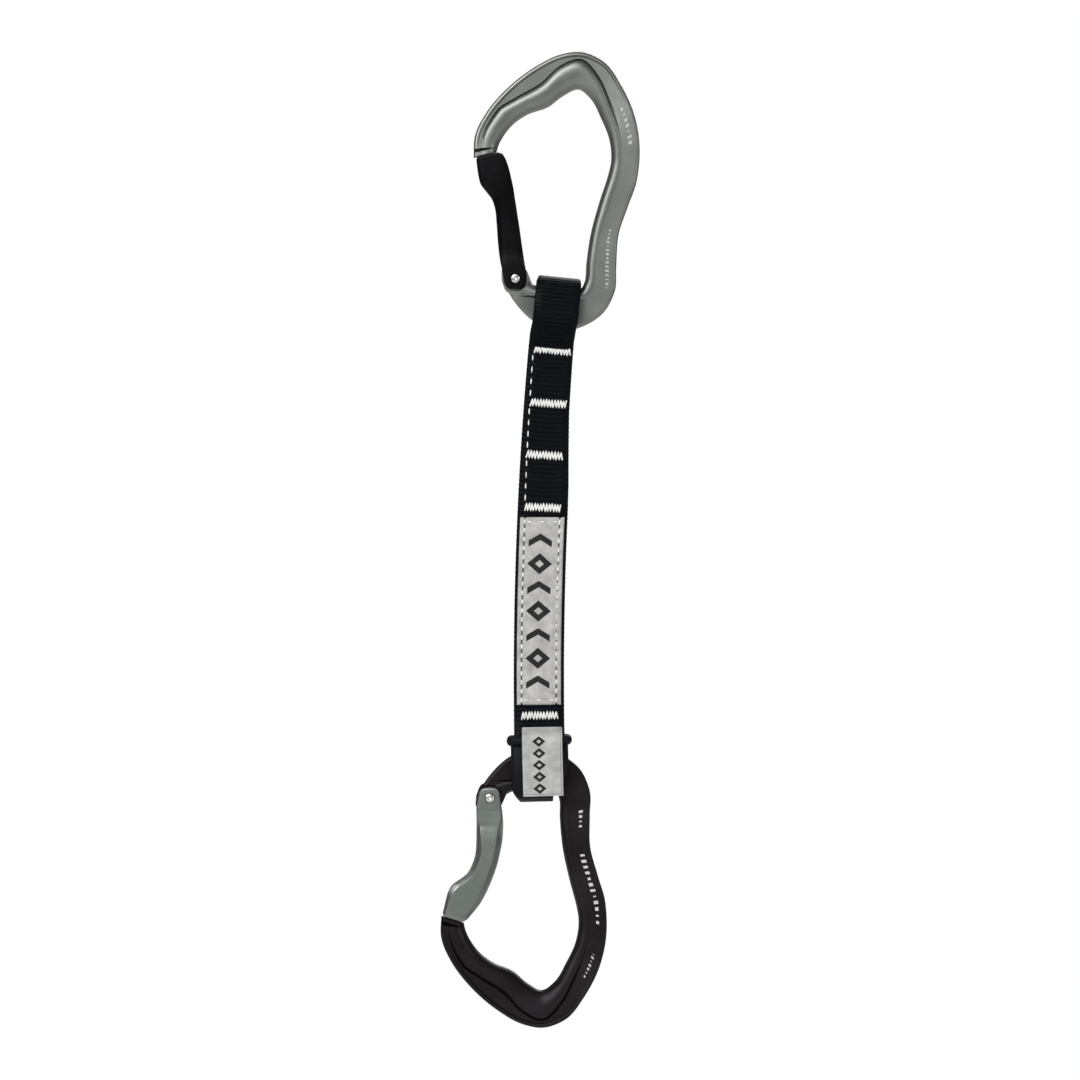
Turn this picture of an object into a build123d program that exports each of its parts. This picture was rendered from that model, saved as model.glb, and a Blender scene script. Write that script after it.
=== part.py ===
from build123d import *
from math import asin, atan, cos, degrees, radians, sin
import os

# A climbing quickdraw: two hot-forged aluminium carabiners joined by a sewn nylon sling.
# The quickdraw hangs. +Z is up, and the carabiners lie in the XZ plane with Y as their thickness.
# The origin is where the bolt hanger sits, at the top of the upper carabiner's opening.
# Lengths are millimetres and angles are degrees.

# Carabiner, in its own upright frame: origin at the gate rivet, crook up, spine towards +X.
tang_half = 2.0             # half thickness of the body between the gate's ears
gate_half = 4.3             # half thickness of a gate
gate_reach = 45.8           # gate rivet to gate tip
nose_gap = 0.3              # between gate tip and nose
gate_opening = 28.0         # how far a gate swings inward
ear_radius = 3.9            # rounded end of the gate round the rivet
ear_gap = 0.3               # each side of the tang, between the ears
fork_reach = 7.6            # rivet to the floor of the slot between the ears
gate_chamfer = 1.1
ear_low_angle = 187          # lowest point of the ears, measured from +Z towards +X

rivet_radius = 1.2
rivet_gap = 0.08            # running fit of the gate on its rivet
rivet_head_radius = 1.65
rivet_dome = 0.35           # how far the head stands above the gate
rivet_head_depth = 0.5      # the head's straight side, sunk in the gate
rivet_taper_depth = 1.2     # from the gate's face to where the plain shank begins

key_neck_half = 1.3         # keylock nose: thin neck with a wider head at its end
key_head_half = 2.2
key_gap = 0.35
key_inner_angle = -14.0     # key's extent round the rivet, measured from +Z towards +X
key_outer_angle = -21.6
slot_open_angle = -30.0     # the gate's slot runs out through its outer side
key_head_span = (41.8, 43.6)  # nearest and farthest distance of the key's head from the rivet
key_lap = 0.4               # the neck runs this far into the head
key_root = 0.6              # and this far into the nose

nose_cut_near = 36.0        # the nose is cut to an arc round the rivet, from this distance out
nose_cut_angles = (-30.0, -5.0)
nose_groove_outline = ((-19.0, 44.6), (-9.3, 46.7), (-9.3, 46.9), (-16.0, 47.2), (-19.0, 46.0))
nose_groove_depth = 1.3
hinge_relief = 0.4          # round the gate's ears
tang_heel = ((-4.0, 3.4), (-5.2, 2.8), (-4.7, -0.8), (-2.4, -4.6))
tang_front = ((7.0, -3.0), (5.6, -0.6), (4.7, 1.6))
tang_top_front = (40.0, 5.1)  # angle and distance from the rivet, before and behind the cam
tang_top_back = (-32.0, 3.6)
beyond = 8.0                # cutters along Y reach this far, past every face of a carabiner

bore_angle = -8.0           # plunger's bore, measured from +Z towards +X
bore_reach = 24.0           # rivet to the blind end of the bore
plunger_radius = 1.25
plunger_gap = 0.08
plunger_rest = 4.2          # rivet to plunger tip with the gate shut
plunger_length = 7.0
plunger_travel = 1.4        # pushed into the gate while the gate opens fully
cam_gap = 0.5               # between the plunger's tip and the tang's cam
spring_wire = 0.25          # radius of the spring's wire
spring_radius = 0.9         # centre of the wire
spring_turns = 9
spring_gap = 0.1            # at each end of the coil

upper_lean = 4.0            # the upper carabiner leans to the right
lower_lean = 0.7
crook_seat = (17.8, 69.5)   # highest point of the opening
lower_rivet = (-31.8, -254.8)

# Sling. Its centre line is a shallow parabola, x = line_x + line_bow * (z - line_z)^2.
line_x = -14.15
line_z = -212.0
line_bow = 0.000376
webbing_width = 18.0
leg_thickness = 2.0         # one leg of the webbing loop; two legs lie together

upper_eye_z = -78.8         # centre of the bolt end's eye
upper_eye_half_width = 8.4  # clear opening of the eye, half its thickness
upper_eye_half_length = 8.5
upper_eye_apex = 13.5       # eye centre to where the legs meet
lower_eye_z = -244.9
lower_eye_half_width = 6.9  # the keeper's eye is a slot with round ends
lower_eye_half_length = 8.1
lower_eye_apex = 17.5
upper_throat = 1.2          # the legs' box starts this far below the upper eye's end
lower_throat = 0.7          # and stops this far above the lower eye's end
eye_half_span = 13.0        # half length of the bars that shape the eyes
eye_lap = 4.0               # the eyes' necks run this far into the legs
outline_top = -97.0         # between these heights the strap has its full width
outline_bottom = -228.0

tack_width = 13.9
tack_height = 3.6
tack_depth = 0.5
tack_sink = 0.25            # how deep the thread pulls into the webbing
tack_places = (-93.9, -113.0, -131.6, -150.4, -225.2)
tack_shift = 0.2            # the tacks sit a little to the right of the centre line

stitch_pitch = 3.25
stitch_length = 1.9
stitch_width = 0.7
stitch_depth = 0.35
running_across = -7.4       # the running seam's place across the webbing
running_start = 0.6         # share of a pitch from the first tack to the first stitch
label_end_stitches = 4      # stitches across each end of the label

label_top = -153.9
label_bottom = -221.4
label_width = 15.9
label_depth = 0.7
label_seam = 1.7            # label's edge to its stitch line

tag_top = -229.6
tag_bottom = -254.2
tag_width = 14.4
tag_depth = 0.5
tag_gap = 0.3               # between the hanging tag and the keeper
tag_shift = 1.0             # the tag hangs a little to the right of the centre line
tag_root = 3.3              # distance in front of the sling's middle where the tag is sewn on
tag_rim_gap = 0.5           # between the tag and the lip that it lies over
tag_rim_back = 1.3          # the tag turns over the lip this far behind its front
tag_rim_above = 2.0         # and this far above its middle
tag_hang = 4.0              # above the eye's centre, where the tag begins to hang straight

keeper_wall = 1.2
keeper_gap = 0.05           # between the keeper and the webbing inside it
keeper_mouth = 10.9         # eye centre to the mouth that the sling comes out of
rim_radius = 1.5            # rolled lip round the mouth
rim_half_width = 10.6       # centre of the lip
rim_half_depth = 7.6
rim_corner = 1.8
bar_hole_top = 8.4          # the side holes are closed this far above the eye's centre

# Outlines of the two eyes from the front, from the eye's centre, with the carabiner's side up.
upper_eye_outline = ((-8.9, -12.0), (-8.3, -5.0), (-8.3, 8.2), (-6.4, 11.0), (6.2, 11.0),
                     (7.7, 8.4), (7.7, -5.0), (8.9, -12.0))
lower_eye_outline = ((-9.0, -14.0), (-9.0, 6.2), (-6.6, 10.8), (3.4, 10.8), (4.0, 6.2),
                     (7.1, 2.8), (9.0, -3.0), (9.0, -14.0))
keeper_outline = ((-10.25, -10.9), (-10.25, 6.6), (-7.6, 12.0), (4.4, 12.0), (5.1, 7.0),
                  (8.4, 3.4), (10.25, -2.5), (10.25, -10.9))

# Stations along the body from nose to hinge. Each gives the inner edge (x, z), the outer edge
# (x, z), the width of the rounded bead on the inner side, the bead's half thickness, and the
# half thickness of the flat floor outside the bead.
body_stations = (
    (-10.2, 43.4, -18.0, 42.2, 6.4, 4.0, 3.9),
    (-9.2, 48.0, -18.2, 49.6, 7.8, 4.2, 3.5),
    (-5.6, 54.3, -14.6, 58.9, 7.7, 4.4, 3.1),
    (0.4, 59.3, -6.8, 69.1, 6.8, 4.7, 3.0),
    (7.4, 62.4, 2.3, 76.9, 8.4, 4.8, 2.9),
    (12.6, 66.8, 10.6, 81.6, 10.4, 4.8, 2.9),
    (17.8, 69.5, 18.4, 83.0, 10.3, 4.8, 2.9),
    (22.6, 66.4, 26.2, 80.2, 8.0, 4.7, 2.9),
    (26.8, 59.6, 33.0, 72.3, 6.1, 4.5, 3.0),
    (30.2, 52.4, 38.8, 61.2, 4.7, 4.2, 3.4),
    (31.4, 45.0, 41.4, 49.2, 4.0, 4.0, 3.7),
    (30.7, 39.6, 41.2, 38.8, 4.0, 3.9, 3.8),
    (28.3, 30.0, 38.6, 28.8, 4.0, 3.9, 3.8),
    (26.0, 18.6, 35.9, 18.0, 3.7, 3.9, 3.8),
    (25.1, 7.6, 35.9, 6.6, 3.6, 3.9, 3.8),
    (25.0, 1.0, 35.9, -2.4, 3.6, 3.9, 3.8),
    (23.4, -2.3, 32.6, -9.8, 3.6, 4.0, 3.7),
    (19.4, -3.0, 25.4, -15.4, 3.8, 4.3, 3.5),
    (14.0, -2.8, 16.4, -17.3, 4.0, 4.5, 3.3),
    (8.6, -2.2, 7.0, -14.4, 4.2, 4.5, 3.3),
    (5.9, -1.0, 0.2, -8.2, 5.0, 4.3, 3.8),
    (5.0, -0.2, -4.7, -1.2, 6.0, 4.2, 4.1),
)
rim_chamfer = 1.1
bead_crest = 0.7            # the bead is thickest at this share of its width
bead_shoulder = 0.96        # and falls to the floor beyond this share

# Outlines of the two gates from beside the rivet up the outer side, and down the inner side.
straight_gate_outer = ((-4.0, 0.9), (-6.3, 7.5), (-7.9, 18.0), (-9.0, 24.6), (-12.4, 30.2),
                       (-15.2, 33.6))
straight_gate_inner = ((-6.5, 42.8), (-4.4, 37.2), (-0.4, 21.3), (1.9, 10.8),
                       (3.7, 1.6))
straight_gate_tip = (-22.0, -16.0, -11.2)  # angles of three points on the tip's arc
bent_gate_outer = ((-4.0, 0.9), (-4.9, 10.0), (-5.2, 19.6), (-8.2, 27.0), (-14.0, 31.4),
                   (-16.4, 36.6))
bent_gate_inner = ((-7.6, 42.4), (-3.6, 37.2), (1.4, 27.0), (4.4, 15.0), (4.5, 6.9),
                   (3.7, 1.6))
bent_gate_tip = (-22.6, -17.0, -13.0)


def toward(angle, distance):
    """Point at a distance from the rivet, at an angle measured from +Z towards +X."""
    return (distance * sin(radians(angle)), distance * cos(radians(angle)))


def flat(points):
    """Points (x, z) as build123d points in the XZ plane."""
    return [(x, 0, z) for x, z in points]


def slab(edges, half):
    """Solid of an XZ outline, half its thickness on each side of the XZ plane."""
    face = Face(Wire(edges))
    return extrude(face, amount=half, dir=(0, 1, 0)) + extrude(face, amount=half, dir=(0, -1, 0))


def polygon_slab(points, half):
    return slab(Polyline(*flat(points), close=True).edges(), half)


def rod(radius, half):
    """Round rod along Y, centred on the rivet."""
    return Rot(90, 0, 0) * Cylinder(radius, 2 * half)


def ring_slab(near, far, start, end, half):
    """Part of a ring round the rivet, between two distances and two angles."""
    middle = (start + end) / 2
    inner = [toward(a, near) for a in (start, middle, end)]
    outer = [toward(a, far) for a in (end, middle, start)]
    edges = [
        ThreePointArc(*flat(inner)),
        Line(*flat((inner[2], outer[0]))),
        ThreePointArc(*flat(outer)),
        Line(*flat((outer[2], inner[0]))),
    ]
    return slab(edges, half)


# ---------------------------------------------------------------- carabiner


def body_section(xi, zi, xo, zo, bead, crest, floor):
    """Cross-section of the body: round bead inside, flat floor, chamfered rim outside."""
    across = Vector(xo - xi, 0, zo - zi)
    width = across.length
    plane = Plane(origin=(xi, 0, zi), x_dir=across, z_dir=across.cross(Vector(0, 1, 0)))
    top = bead_crest * bead
    rim = floor - rim_chamfer
    edges = [
        Bezier((top, -crest), (-top / 3, -crest), (-top / 3, crest), (top, crest)),
        Bezier((top, crest), (bead_shoulder * bead, crest), (bead, floor)),
        Line((bead, floor), (width - rim_chamfer, floor)),
        Line((width - rim_chamfer, floor), (width, rim)),
        Line((width, rim), (width, -rim)),
        Line((width, -rim), (width - rim_chamfer, -floor)),
        Line((width - rim_chamfer, -floor), (bead, -floor)),
        Bezier((bead, -floor), (bead_shoulder * bead, -crest), (top, -crest)),
    ]
    return plane * Face(Wire(edges))


def tang():
    """Plate between the gate's ears. Its top is the cam that the plunger rides on."""
    cam_low = plunger_rest - cam_gap
    swing = (0, gate_opening / 2, gate_opening)
    cam = [toward(bore_angle + a, cam_low + plunger_travel * a / gate_opening) for a in swing]
    top = [toward(*tang_top_front), *reversed(cam), toward(*tang_top_back)]
    edges = [
        Spline(*flat([*tang_front, *top, tang_heel[0]])),
        Line(*flat(tang_heel[:2])),
        Spline(*flat(tang_heel[1:])),
        Line(*flat((tang_heel[3], tang_front[0]))),
    ]
    return slab(edges, tang_half)


def nose_key():
    """Neck and wider head that lock into the slot in the gate's tip."""
    near, far = key_head_span
    end = gate_reach + nose_gap + key_root
    neck = ring_slab(far - key_lap, end, key_outer_angle, key_inner_angle, key_neck_half)
    head = ring_slab(near, far, key_outer_angle, key_inner_angle, key_head_half)
    return neck + head


def nose_groove():
    """Wedge-shaped relief across each face just above the nose's end."""
    core = body_stations[0][5] - nose_groove_depth
    return polygon_slab(nose_groove_outline, beyond) - polygon_slab(nose_groove_outline, core)


def carabiner_body():
    body = loft([body_section(*station) for station in body_stations])
    body -= ring_slab(nose_cut_near, gate_reach + nose_gap, *nose_cut_angles, beyond)
    body -= nose_groove()
    body += nose_key()
    round_ears = ear_radius + hinge_relief
    body -= rod(round_ears, beyond) - rod(round_ears, tang_half)
    body += tang()
    return body - rod(rivet_radius, beyond)


def rivet_shape(extra):
    """The rivet with its two domed heads, or with extra size the room that it needs."""
    shank = rivet_radius + extra
    head = rivet_head_radius + extra
    dome = rivet_dome + extra
    ball = (head ** 2 + dome ** 2) / (2 * dome)
    half_way = asin(head / ball) / 2
    beside = ball * sin(half_way)
    drop = ball - ball * cos(half_way)
    top = gate_half + dome
    straight = gate_half - rivet_head_depth
    taper = gate_half - rivet_taper_depth
    side = [(head, -gate_half), (head, -straight), (shank, -taper),
            (shank, taper), (head, straight), (head, gate_half)]
    edges = Polyline(*side).edges() + [
        ThreePointArc((head, gate_half), (beside, top - drop), (0, top)),
        Line((0, top), (0, -top)),
        ThreePointArc((0, -top), (beside, drop - top), (head, -gate_half)),
    ]
    return revolve(Face(Wire(edges)), Axis.Y)


def along_bore(distance):
    """Place on the plunger's bore, with local +Z pointing away from the rivet."""
    return Rot(0, bore_angle, 0) * Pos(0, 0, distance)


def gate(outer, inner, tip_angles):
    """Solid gate: forked at the hinge, slotted at its tip and bored for spring and plunger."""
    tip_outer, tip_middle, tip_inner = [toward(a, gate_reach) for a in tip_angles]
    edges = [
        Spline(*flat(outer + (tip_outer,))),
        ThreePointArc(*flat((tip_outer, tip_middle, tip_inner))),
        Spline(*flat((tip_inner,) + inner)),
        ThreePointArc(*flat((inner[-1], toward(ear_low_angle, ear_radius), outer[0]))),
    ]
    solid = slab(edges, gate_half)
    rims = solid.edges().group_by(Axis.Y)
    solid = chamfer(rims[0] + rims[-1], gate_chamfer)
    solid -= rod(fork_reach, tang_half + ear_gap)
    solid -= rivet_shape(rivet_gap)
    solid -= along_bore(bore_reach / 2) * Cylinder(plunger_radius + plunger_gap, bore_reach)
    near, far = key_head_span
    wall = key_inner_angle + degrees(key_gap / gate_reach)
    neck_half = key_neck_half + key_gap
    head_half = key_head_half + key_gap
    solid -= ring_slab(far - key_lap, gate_reach + key_gap, slot_open_angle, wall, neck_half)
    solid -= ring_slab(near - key_gap, far + key_gap, slot_open_angle, wall, head_half)
    return solid


def plunger():
    """Pin with a round tip that presses on the tang's cam."""
    shaft_length = plunger_length - plunger_radius
    start = plunger_rest + plunger_radius
    shaft = along_bore(start + shaft_length / 2) * Cylinder(plunger_radius, shaft_length)
    return shaft + along_bore(start) * Sphere(plunger_radius)


def gate_spring():
    """Coil spring between the plunger and the blind end of the bore."""
    start = plunger_rest + plunger_length + spring_wire + spring_gap
    length = bore_reach - spring_wire - spring_gap - start
    coil = Helix(pitch=length / spring_turns, height=length, radius=spring_radius)
    wire = Plane(origin=coil @ 0, z_dir=coil % 0) * Circle(spring_wire)
    return along_bore(start) * sweep(wire, path=coil)


def hang_upper(shape):
    """Place a carabiner piece so that the crook's seat lies at the origin."""
    lean = Rot(0, upper_lean, 0)
    seat = lean * Pos(crook_seat[0], 0, crook_seat[1])
    return Pos(-seat.position) * lean * shape


def hang_lower(shape):
    """Place a carabiner piece upside down at the sling's lower end."""
    turned = mirror(Rot(0, lower_lean, 0) * shape, about=Plane.XY)
    return Pos(lower_rivet[0], 0, lower_rivet[1]) * turned


# ---------------------------------------------------------------- sling


def line_lean(z):
    """Lean of the sling's centre line from upright, in degrees."""
    return degrees(atan(2 * line_bow * (z - line_z)))


def on_line(z, across=0.0):
    """Place beside the centre line, with local +Z running up along it and local +X across it."""
    x = line_x + line_bow * (z - line_z) ** 2
    return Pos(x, 0, z) * Rot(0, line_lean(z), 0) * Pos(across, 0, 0)


def side_points(top, bottom, across, steps=6):
    """Points down a line that keeps one distance from the centre line."""
    heights = [top + (bottom - top) * i / steps for i in range(steps + 1)]
    return [on_line(z, across).position for z in heights]


def strip(top, bottom, left, right, inner_y, outer_y):
    """Flat strip along the sling, between two distances in front of (-) or behind (+) its middle."""
    left_side = side_points(top, bottom, left)
    right_side = side_points(top, bottom, right)
    edges = [
        Spline(*left_side),
        Line(left_side[-1], right_side[-1]),
        Spline(*reversed(right_side)),
        Line(right_side[0], left_side[0]),
    ]
    depth = outer_y - inner_y
    return Pos(0, inner_y, 0) * extrude(Face(Wire(edges)), amount=abs(depth), dir=(0, depth, 0))


def drop_prism(half_width, half_length, apex, wall, throat):
    """Bar along X with a drop-shaped section: a slot with round ends that closes below.

    With a wall the drop is that much larger all round, and ends in a throat of two walls."""
    centre = half_length - half_width
    lean = asin(half_width / (apex - centre))
    radius = half_width + wall
    tangent = (radius * cos(lean), -centre - radius * sin(lean))
    shoulder = (radius * cos(lean / 2), -centre - radius * sin(lean / 2))
    run = (tangent[0] - wall) / sin(lean)
    neck = (wall, tangent[1] - run * cos(lean))

    def side(sign):
        return [(0, sign * y, z) for y, z in ((radius, centre), (radius, -centre), shoulder, tangent, neck)]

    right, left = side(1), side(-1)
    edges = [
        ThreePointArc(left[0], (0, 0, centre + radius), right[0]),
        Line(right[0], right[1]),
        ThreePointArc(*right[1:4]),
        Line(right[3], right[4]),
        Line(left[4], left[3]),
        ThreePointArc(*reversed(left[1:4])),
        Line(left[1], left[0]),
    ]
    if wall > 0:
        below = neck[1] - throat
        edges += Polyline(right[4], (0, wall, below), (0, -wall, below), left[4]).edges()
    bar = extrude(Face(Wire(edges)), amount=2 * eye_half_span, dir=(1, 0, 0))
    return Pos(-eye_half_span, 0, 0) * bar


def upper_eye(wall, throat=eye_lap):
    prism = drop_prism(upper_eye_half_width, upper_eye_half_length, upper_eye_apex, wall, throat)
    return on_line(upper_eye_z) * prism


def lower_eye_prism(wall, throat=eye_lap):
    return drop_prism(lower_eye_half_width, lower_eye_half_length, lower_eye_apex, wall, throat)


def in_lower_eye(shape):
    """Place a shape made with the carabiner's side up into the lower eye, where that is down."""
    return on_line(lower_eye_z) * Rot(180, 0, 0) * shape


def webbing():
    """One nylon strap sewn into a loop: an eye at each end and two legs lying together between."""
    top = upper_eye_z - upper_eye_apex - upper_throat
    bottom = lower_eye_z + lower_eye_apex + lower_throat
    legs = Pos(line_x, 0, (top + bottom) / 2) * Box(4 * webbing_width, 2 * leg_thickness, top - bottom)
    solid = upper_eye(leg_thickness) + legs + in_lower_eye(lower_eye_prism(leg_thickness))
    upper = [(on_line(upper_eye_z) * Pos(x, 0, z)).position for x, z in upper_eye_outline]
    lower = [(on_line(lower_eye_z) * Pos(x, 0, -z)).position for x, z in lower_eye_outline]
    half = webbing_width / 2
    left = side_points(outline_top, outline_bottom, -half)
    right = side_points(outline_top, outline_bottom, half)
    edges = Polyline(left[0], *upper, right[0]).edges() + [Spline(*right)]
    edges += Polyline(right[-1], *reversed(lower), left[-1]).edges() + [Spline(*left)]
    solid &= slab(edges, 2 * beyond)
    solid -= upper_eye(0) + in_lower_eye(lower_eye_prism(0))
    for place in tack_places:
        solid -= bar_tack(place)
    return solid


def bar_tack(place):
    """Dense zigzag of thread through both legs, seen as a pad on each face."""
    sunk = leg_thickness - tack_sink
    proud = sunk + tack_depth
    left, right = tack_shift - tack_width / 2, tack_shift + tack_width / 2
    top, bottom = place + tack_height / 2, place - tack_height / 2
    front = strip(top, bottom, left, right, -sunk, -proud)
    back = strip(top, bottom, left, right, sunk, proud)
    return front + back


def stitch(place, across, y, turned=False):
    """One visible length of thread lying on a face at distance y from the sling's middle."""
    long, wide = (stitch_width, stitch_length) if turned else (stitch_length, stitch_width)
    middle = y + (stitch_depth / 2 if y > 0 else -stitch_depth / 2)
    return on_line(place, across) * Pos(0, middle, 0) * Box(wide, stitch_depth, long)


def running_stitch():
    """Lengthwise seam down the left edge, with thread showing in turn on the front and the back."""
    thread = []
    first, last = tack_places[0], tack_places[3]
    for count in range(int((first - last) / stitch_pitch) + 1):
        place = first - (running_start + count) * stitch_pitch
        beside = min(abs(place - tack) for tack in tack_places)
        if place > last and beside > (tack_height + stitch_length) / 2:
            thread.append(stitch(place, running_across, -leg_thickness))
            thread.append(stitch(place, running_across, leg_thickness))
    return Compound(children=thread)


def sling_label():
    half = label_width / 2
    return strip(label_top, label_bottom, -half, half, -leg_thickness, -leg_thickness - label_depth)


def label_stitch():
    """Lock stitch all round the label."""
    thread = []
    surface = -leg_thickness - label_depth
    side = label_width / 2 - label_seam
    top, bottom = label_top - label_seam, label_bottom + label_seam
    count = round((top - bottom) / stitch_pitch)
    step = (top - bottom) / count
    for i in range(count):
        place = top - (i + 0.5) * step
        thread += [stitch(place, across, surface) for across in (-side, side)]
    across_step = 2 * side / label_end_stitches
    for i in range(label_end_stitches):
        across = -side + (i + 0.5) * across_step
        thread += [stitch(place, across, surface, turned=True) for place in (top, bottom)]
    return Compound(children=thread)


def keeper():
    """Rubber sheath round the lower eye: closed below, with a mouth, a rolled lip and side holes."""
    placed = [(x, 0, z) for x, z in keeper_outline]
    outer = lower_eye_prism(leg_thickness + keeper_gap + keeper_wall)
    outer &= slab(Polyline(*placed, close=True).edges(), 2 * beyond)
    rim_path = Plane.XY * RectangleRounded(2 * rim_half_width, 2 * rim_half_depth, rim_corner)
    path = Pos(0, 0, -keeper_mouth) * rim_path.wire()
    start = Plane(origin=path @ 0, z_dir=path % 0) * Circle(rim_radius)
    rim = sweep(start, path=path)
    grow = 1 + keeper_gap / (webbing_width / 2)
    room = [(x * grow, 0, z + keeper_gap) for x, z in lower_eye_outline]
    inside = lower_eye_prism(leg_thickness + keeper_gap)
    inside &= slab(Polyline(*room, close=True).edges(), 2 * beyond)
    closed = Pos(0, 0, -bar_hole_top - beyond) * Box(4 * beyond, 4 * beyond, 2 * beyond)
    bar_hole = lower_eye_prism(0) - closed
    return in_lower_eye(outer + rim - inside - bar_hole)


def end_tag():
    """Small woven tag, sewn on above the keeper's mouth and hanging over the keeper's front."""
    face_y = -(lower_eye_half_width + leg_thickness + keeper_wall + keeper_gap + tag_gap)
    rim_y = -(rim_half_depth + rim_radius + tag_rim_gap)
    top = tag_top - lower_eye_z
    bottom = tag_bottom - lower_eye_z
    points = [(-tag_root, top), (rim_y + tag_rim_back, keeper_mouth + tag_rim_above),
              (rim_y, keeper_mouth + tag_rim_gap), (face_y, tag_hang), (face_y, bottom)]
    inner = Polyline(*[(0, y, z) for y, z in points])
    outer = Polyline(*[(0, y - tag_depth, z) for y, z in points])
    ends = [Line(inner @ 1, outer @ 1), Line(outer @ 0, inner @ 0)]
    face = Face(Wire(inner.edges() + outer.edges() + ends))
    hang = extrude(face, amount=tag_width, dir=(1, 0, 0))
    return on_line(lower_eye_z) * Pos(tag_shift - tag_width / 2, 0, 0) * hang


# ---------------------------------------------------------------- build

os.makedirs("parts", exist_ok=True)

body = carabiner_body()
straight_gate = gate(straight_gate_outer, straight_gate_inner, straight_gate_tip)
bent_gate = gate(bent_gate_outer, bent_gate_inner, bent_gate_tip)

carabiner_parts = {
    "frame": (body, body),
    "gate": (straight_gate, bent_gate),
    "gate_rivet": (rivet_shape(0), rivet_shape(0)),
    "gate_plunger": (plunger(), plunger()),
    "gate_spring": (gate_spring(), gate_spring()),
}
for name, (upper, lower) in carabiner_parts.items():
    export_step(hang_upper(upper), f"parts/upper_{name}.step")
    export_step(hang_lower(lower), f"parts/lower_{name}.step")

sling_parts = {
    "sling_webbing": webbing(),
    "running_stitch": running_stitch(),
    "sling_label": sling_label(),
    "label_stitch": label_stitch(),
    "rubber_keeper": keeper(),
    "end_tag": end_tag(),
}
for number, place in enumerate(tack_places, start=1):
    sling_parts[f"bar_tack_{number}"] = bar_tack(place)
for name, shape in sling_parts.items():
    export_step(shape, f"parts/{name}.step")
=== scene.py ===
import math

import bmesh
import bpy
import numpy as np
from mathutils import Matrix, Vector


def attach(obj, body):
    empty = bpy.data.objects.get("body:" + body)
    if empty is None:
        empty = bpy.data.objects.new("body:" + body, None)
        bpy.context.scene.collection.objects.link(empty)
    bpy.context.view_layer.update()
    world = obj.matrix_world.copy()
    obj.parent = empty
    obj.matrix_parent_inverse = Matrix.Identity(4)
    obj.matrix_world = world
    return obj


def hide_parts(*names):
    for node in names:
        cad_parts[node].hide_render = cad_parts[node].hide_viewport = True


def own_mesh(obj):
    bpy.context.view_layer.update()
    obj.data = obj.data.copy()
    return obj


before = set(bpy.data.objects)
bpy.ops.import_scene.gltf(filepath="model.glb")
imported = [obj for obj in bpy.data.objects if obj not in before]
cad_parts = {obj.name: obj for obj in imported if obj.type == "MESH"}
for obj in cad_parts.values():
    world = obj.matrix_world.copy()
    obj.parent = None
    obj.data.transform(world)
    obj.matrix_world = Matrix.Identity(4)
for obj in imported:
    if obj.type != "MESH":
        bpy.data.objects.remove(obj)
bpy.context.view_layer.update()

# ---------------------------------------------------------------- carabiner bodies
# Two bodies from one hot-forging die, tumbled smooth and anodised: the upper titanium grey, the lower black.
# Each is an aluminium bar with a round bead on its inner side, a shallow pocket outside the bead round
# the crook, a keylock nose, and a thin tang at the hinge that stands between the gate's two ears.

# Inner edge (x, z), outer edge (x, z), bead width, bead half thickness, half thickness outside the bead,
# and how deep the pocket is. Millimetres from the rivet, crook up, spine towards +X.
body_rows = (
    (-10.2, 43.4, -18.0, 42.2, 6.4, 4.0, 3.9, 0.0),
    (-9.2, 48.0, -18.2, 49.6, 7.8, 4.2, 3.5, 0.1),
    (-5.6, 54.3, -14.6, 58.9, 7.7, 4.4, 3.1, 0.4),
    (0.4, 59.3, -6.8, 69.1, 6.8, 4.7, 3.0, 0.5),
    (7.4, 62.4, 2.3, 76.9, 8.4, 4.8, 2.9, 0.5),
    (12.6, 66.8, 10.6, 81.6, 10.4, 4.8, 2.9, 0.5),
    (17.8, 69.5, 18.4, 83.0, 10.3, 4.8, 2.9, 0.5),
    (22.6, 66.4, 26.2, 80.2, 8.0, 4.7, 2.9, 0.5),
    (26.8, 59.6, 33.0, 72.3, 6.1, 4.5, 3.0, 0.3),
    (30.2, 52.4, 38.8, 61.2, 4.7, 4.2, 3.4, 0.0),
    (31.4, 45.0, 41.4, 49.2, 4.0, 4.0, 3.7, 0.0),
    (30.7, 39.6, 41.2, 38.8, 4.0, 3.9, 3.8, 0.0),
    (28.3, 30.0, 38.6, 28.8, 4.0, 3.9, 3.8, 0.0),
    (26.0, 18.6, 35.9, 18.0, 3.7, 3.9, 3.8, 0.0),
    (25.1, 7.6, 35.9, 6.6, 3.6, 3.9, 3.8, 0.0),
    (25.0, 1.0, 35.9, -2.4, 3.6, 3.9, 3.8, 0.0),
    (23.4, -2.3, 32.6, -9.8, 3.6, 4.0, 3.7, 0.0),
    (19.4, -3.0, 25.4, -15.4, 3.8, 4.3, 3.5, 0.0),
    (14.0, -2.8, 16.4, -17.3, 4.0, 4.5, 3.3, 0.0),
    (8.6, -2.2, 7.0, -14.4, 4.2, 4.5, 3.3, 0.0),
    (5.9, -1.0, 0.2, -8.2, 5.0, 4.3, 3.8, 0.0),
    (5.0, -0.2, -4.7, -1.2, 6.0, 4.2, 4.1, 0.0),
)
crook_seat = (17.8, 69.5)
lower_rivet_place = (-31.8, -254.8)
nose_reach = 46.1
tang_half = 2.0


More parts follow.
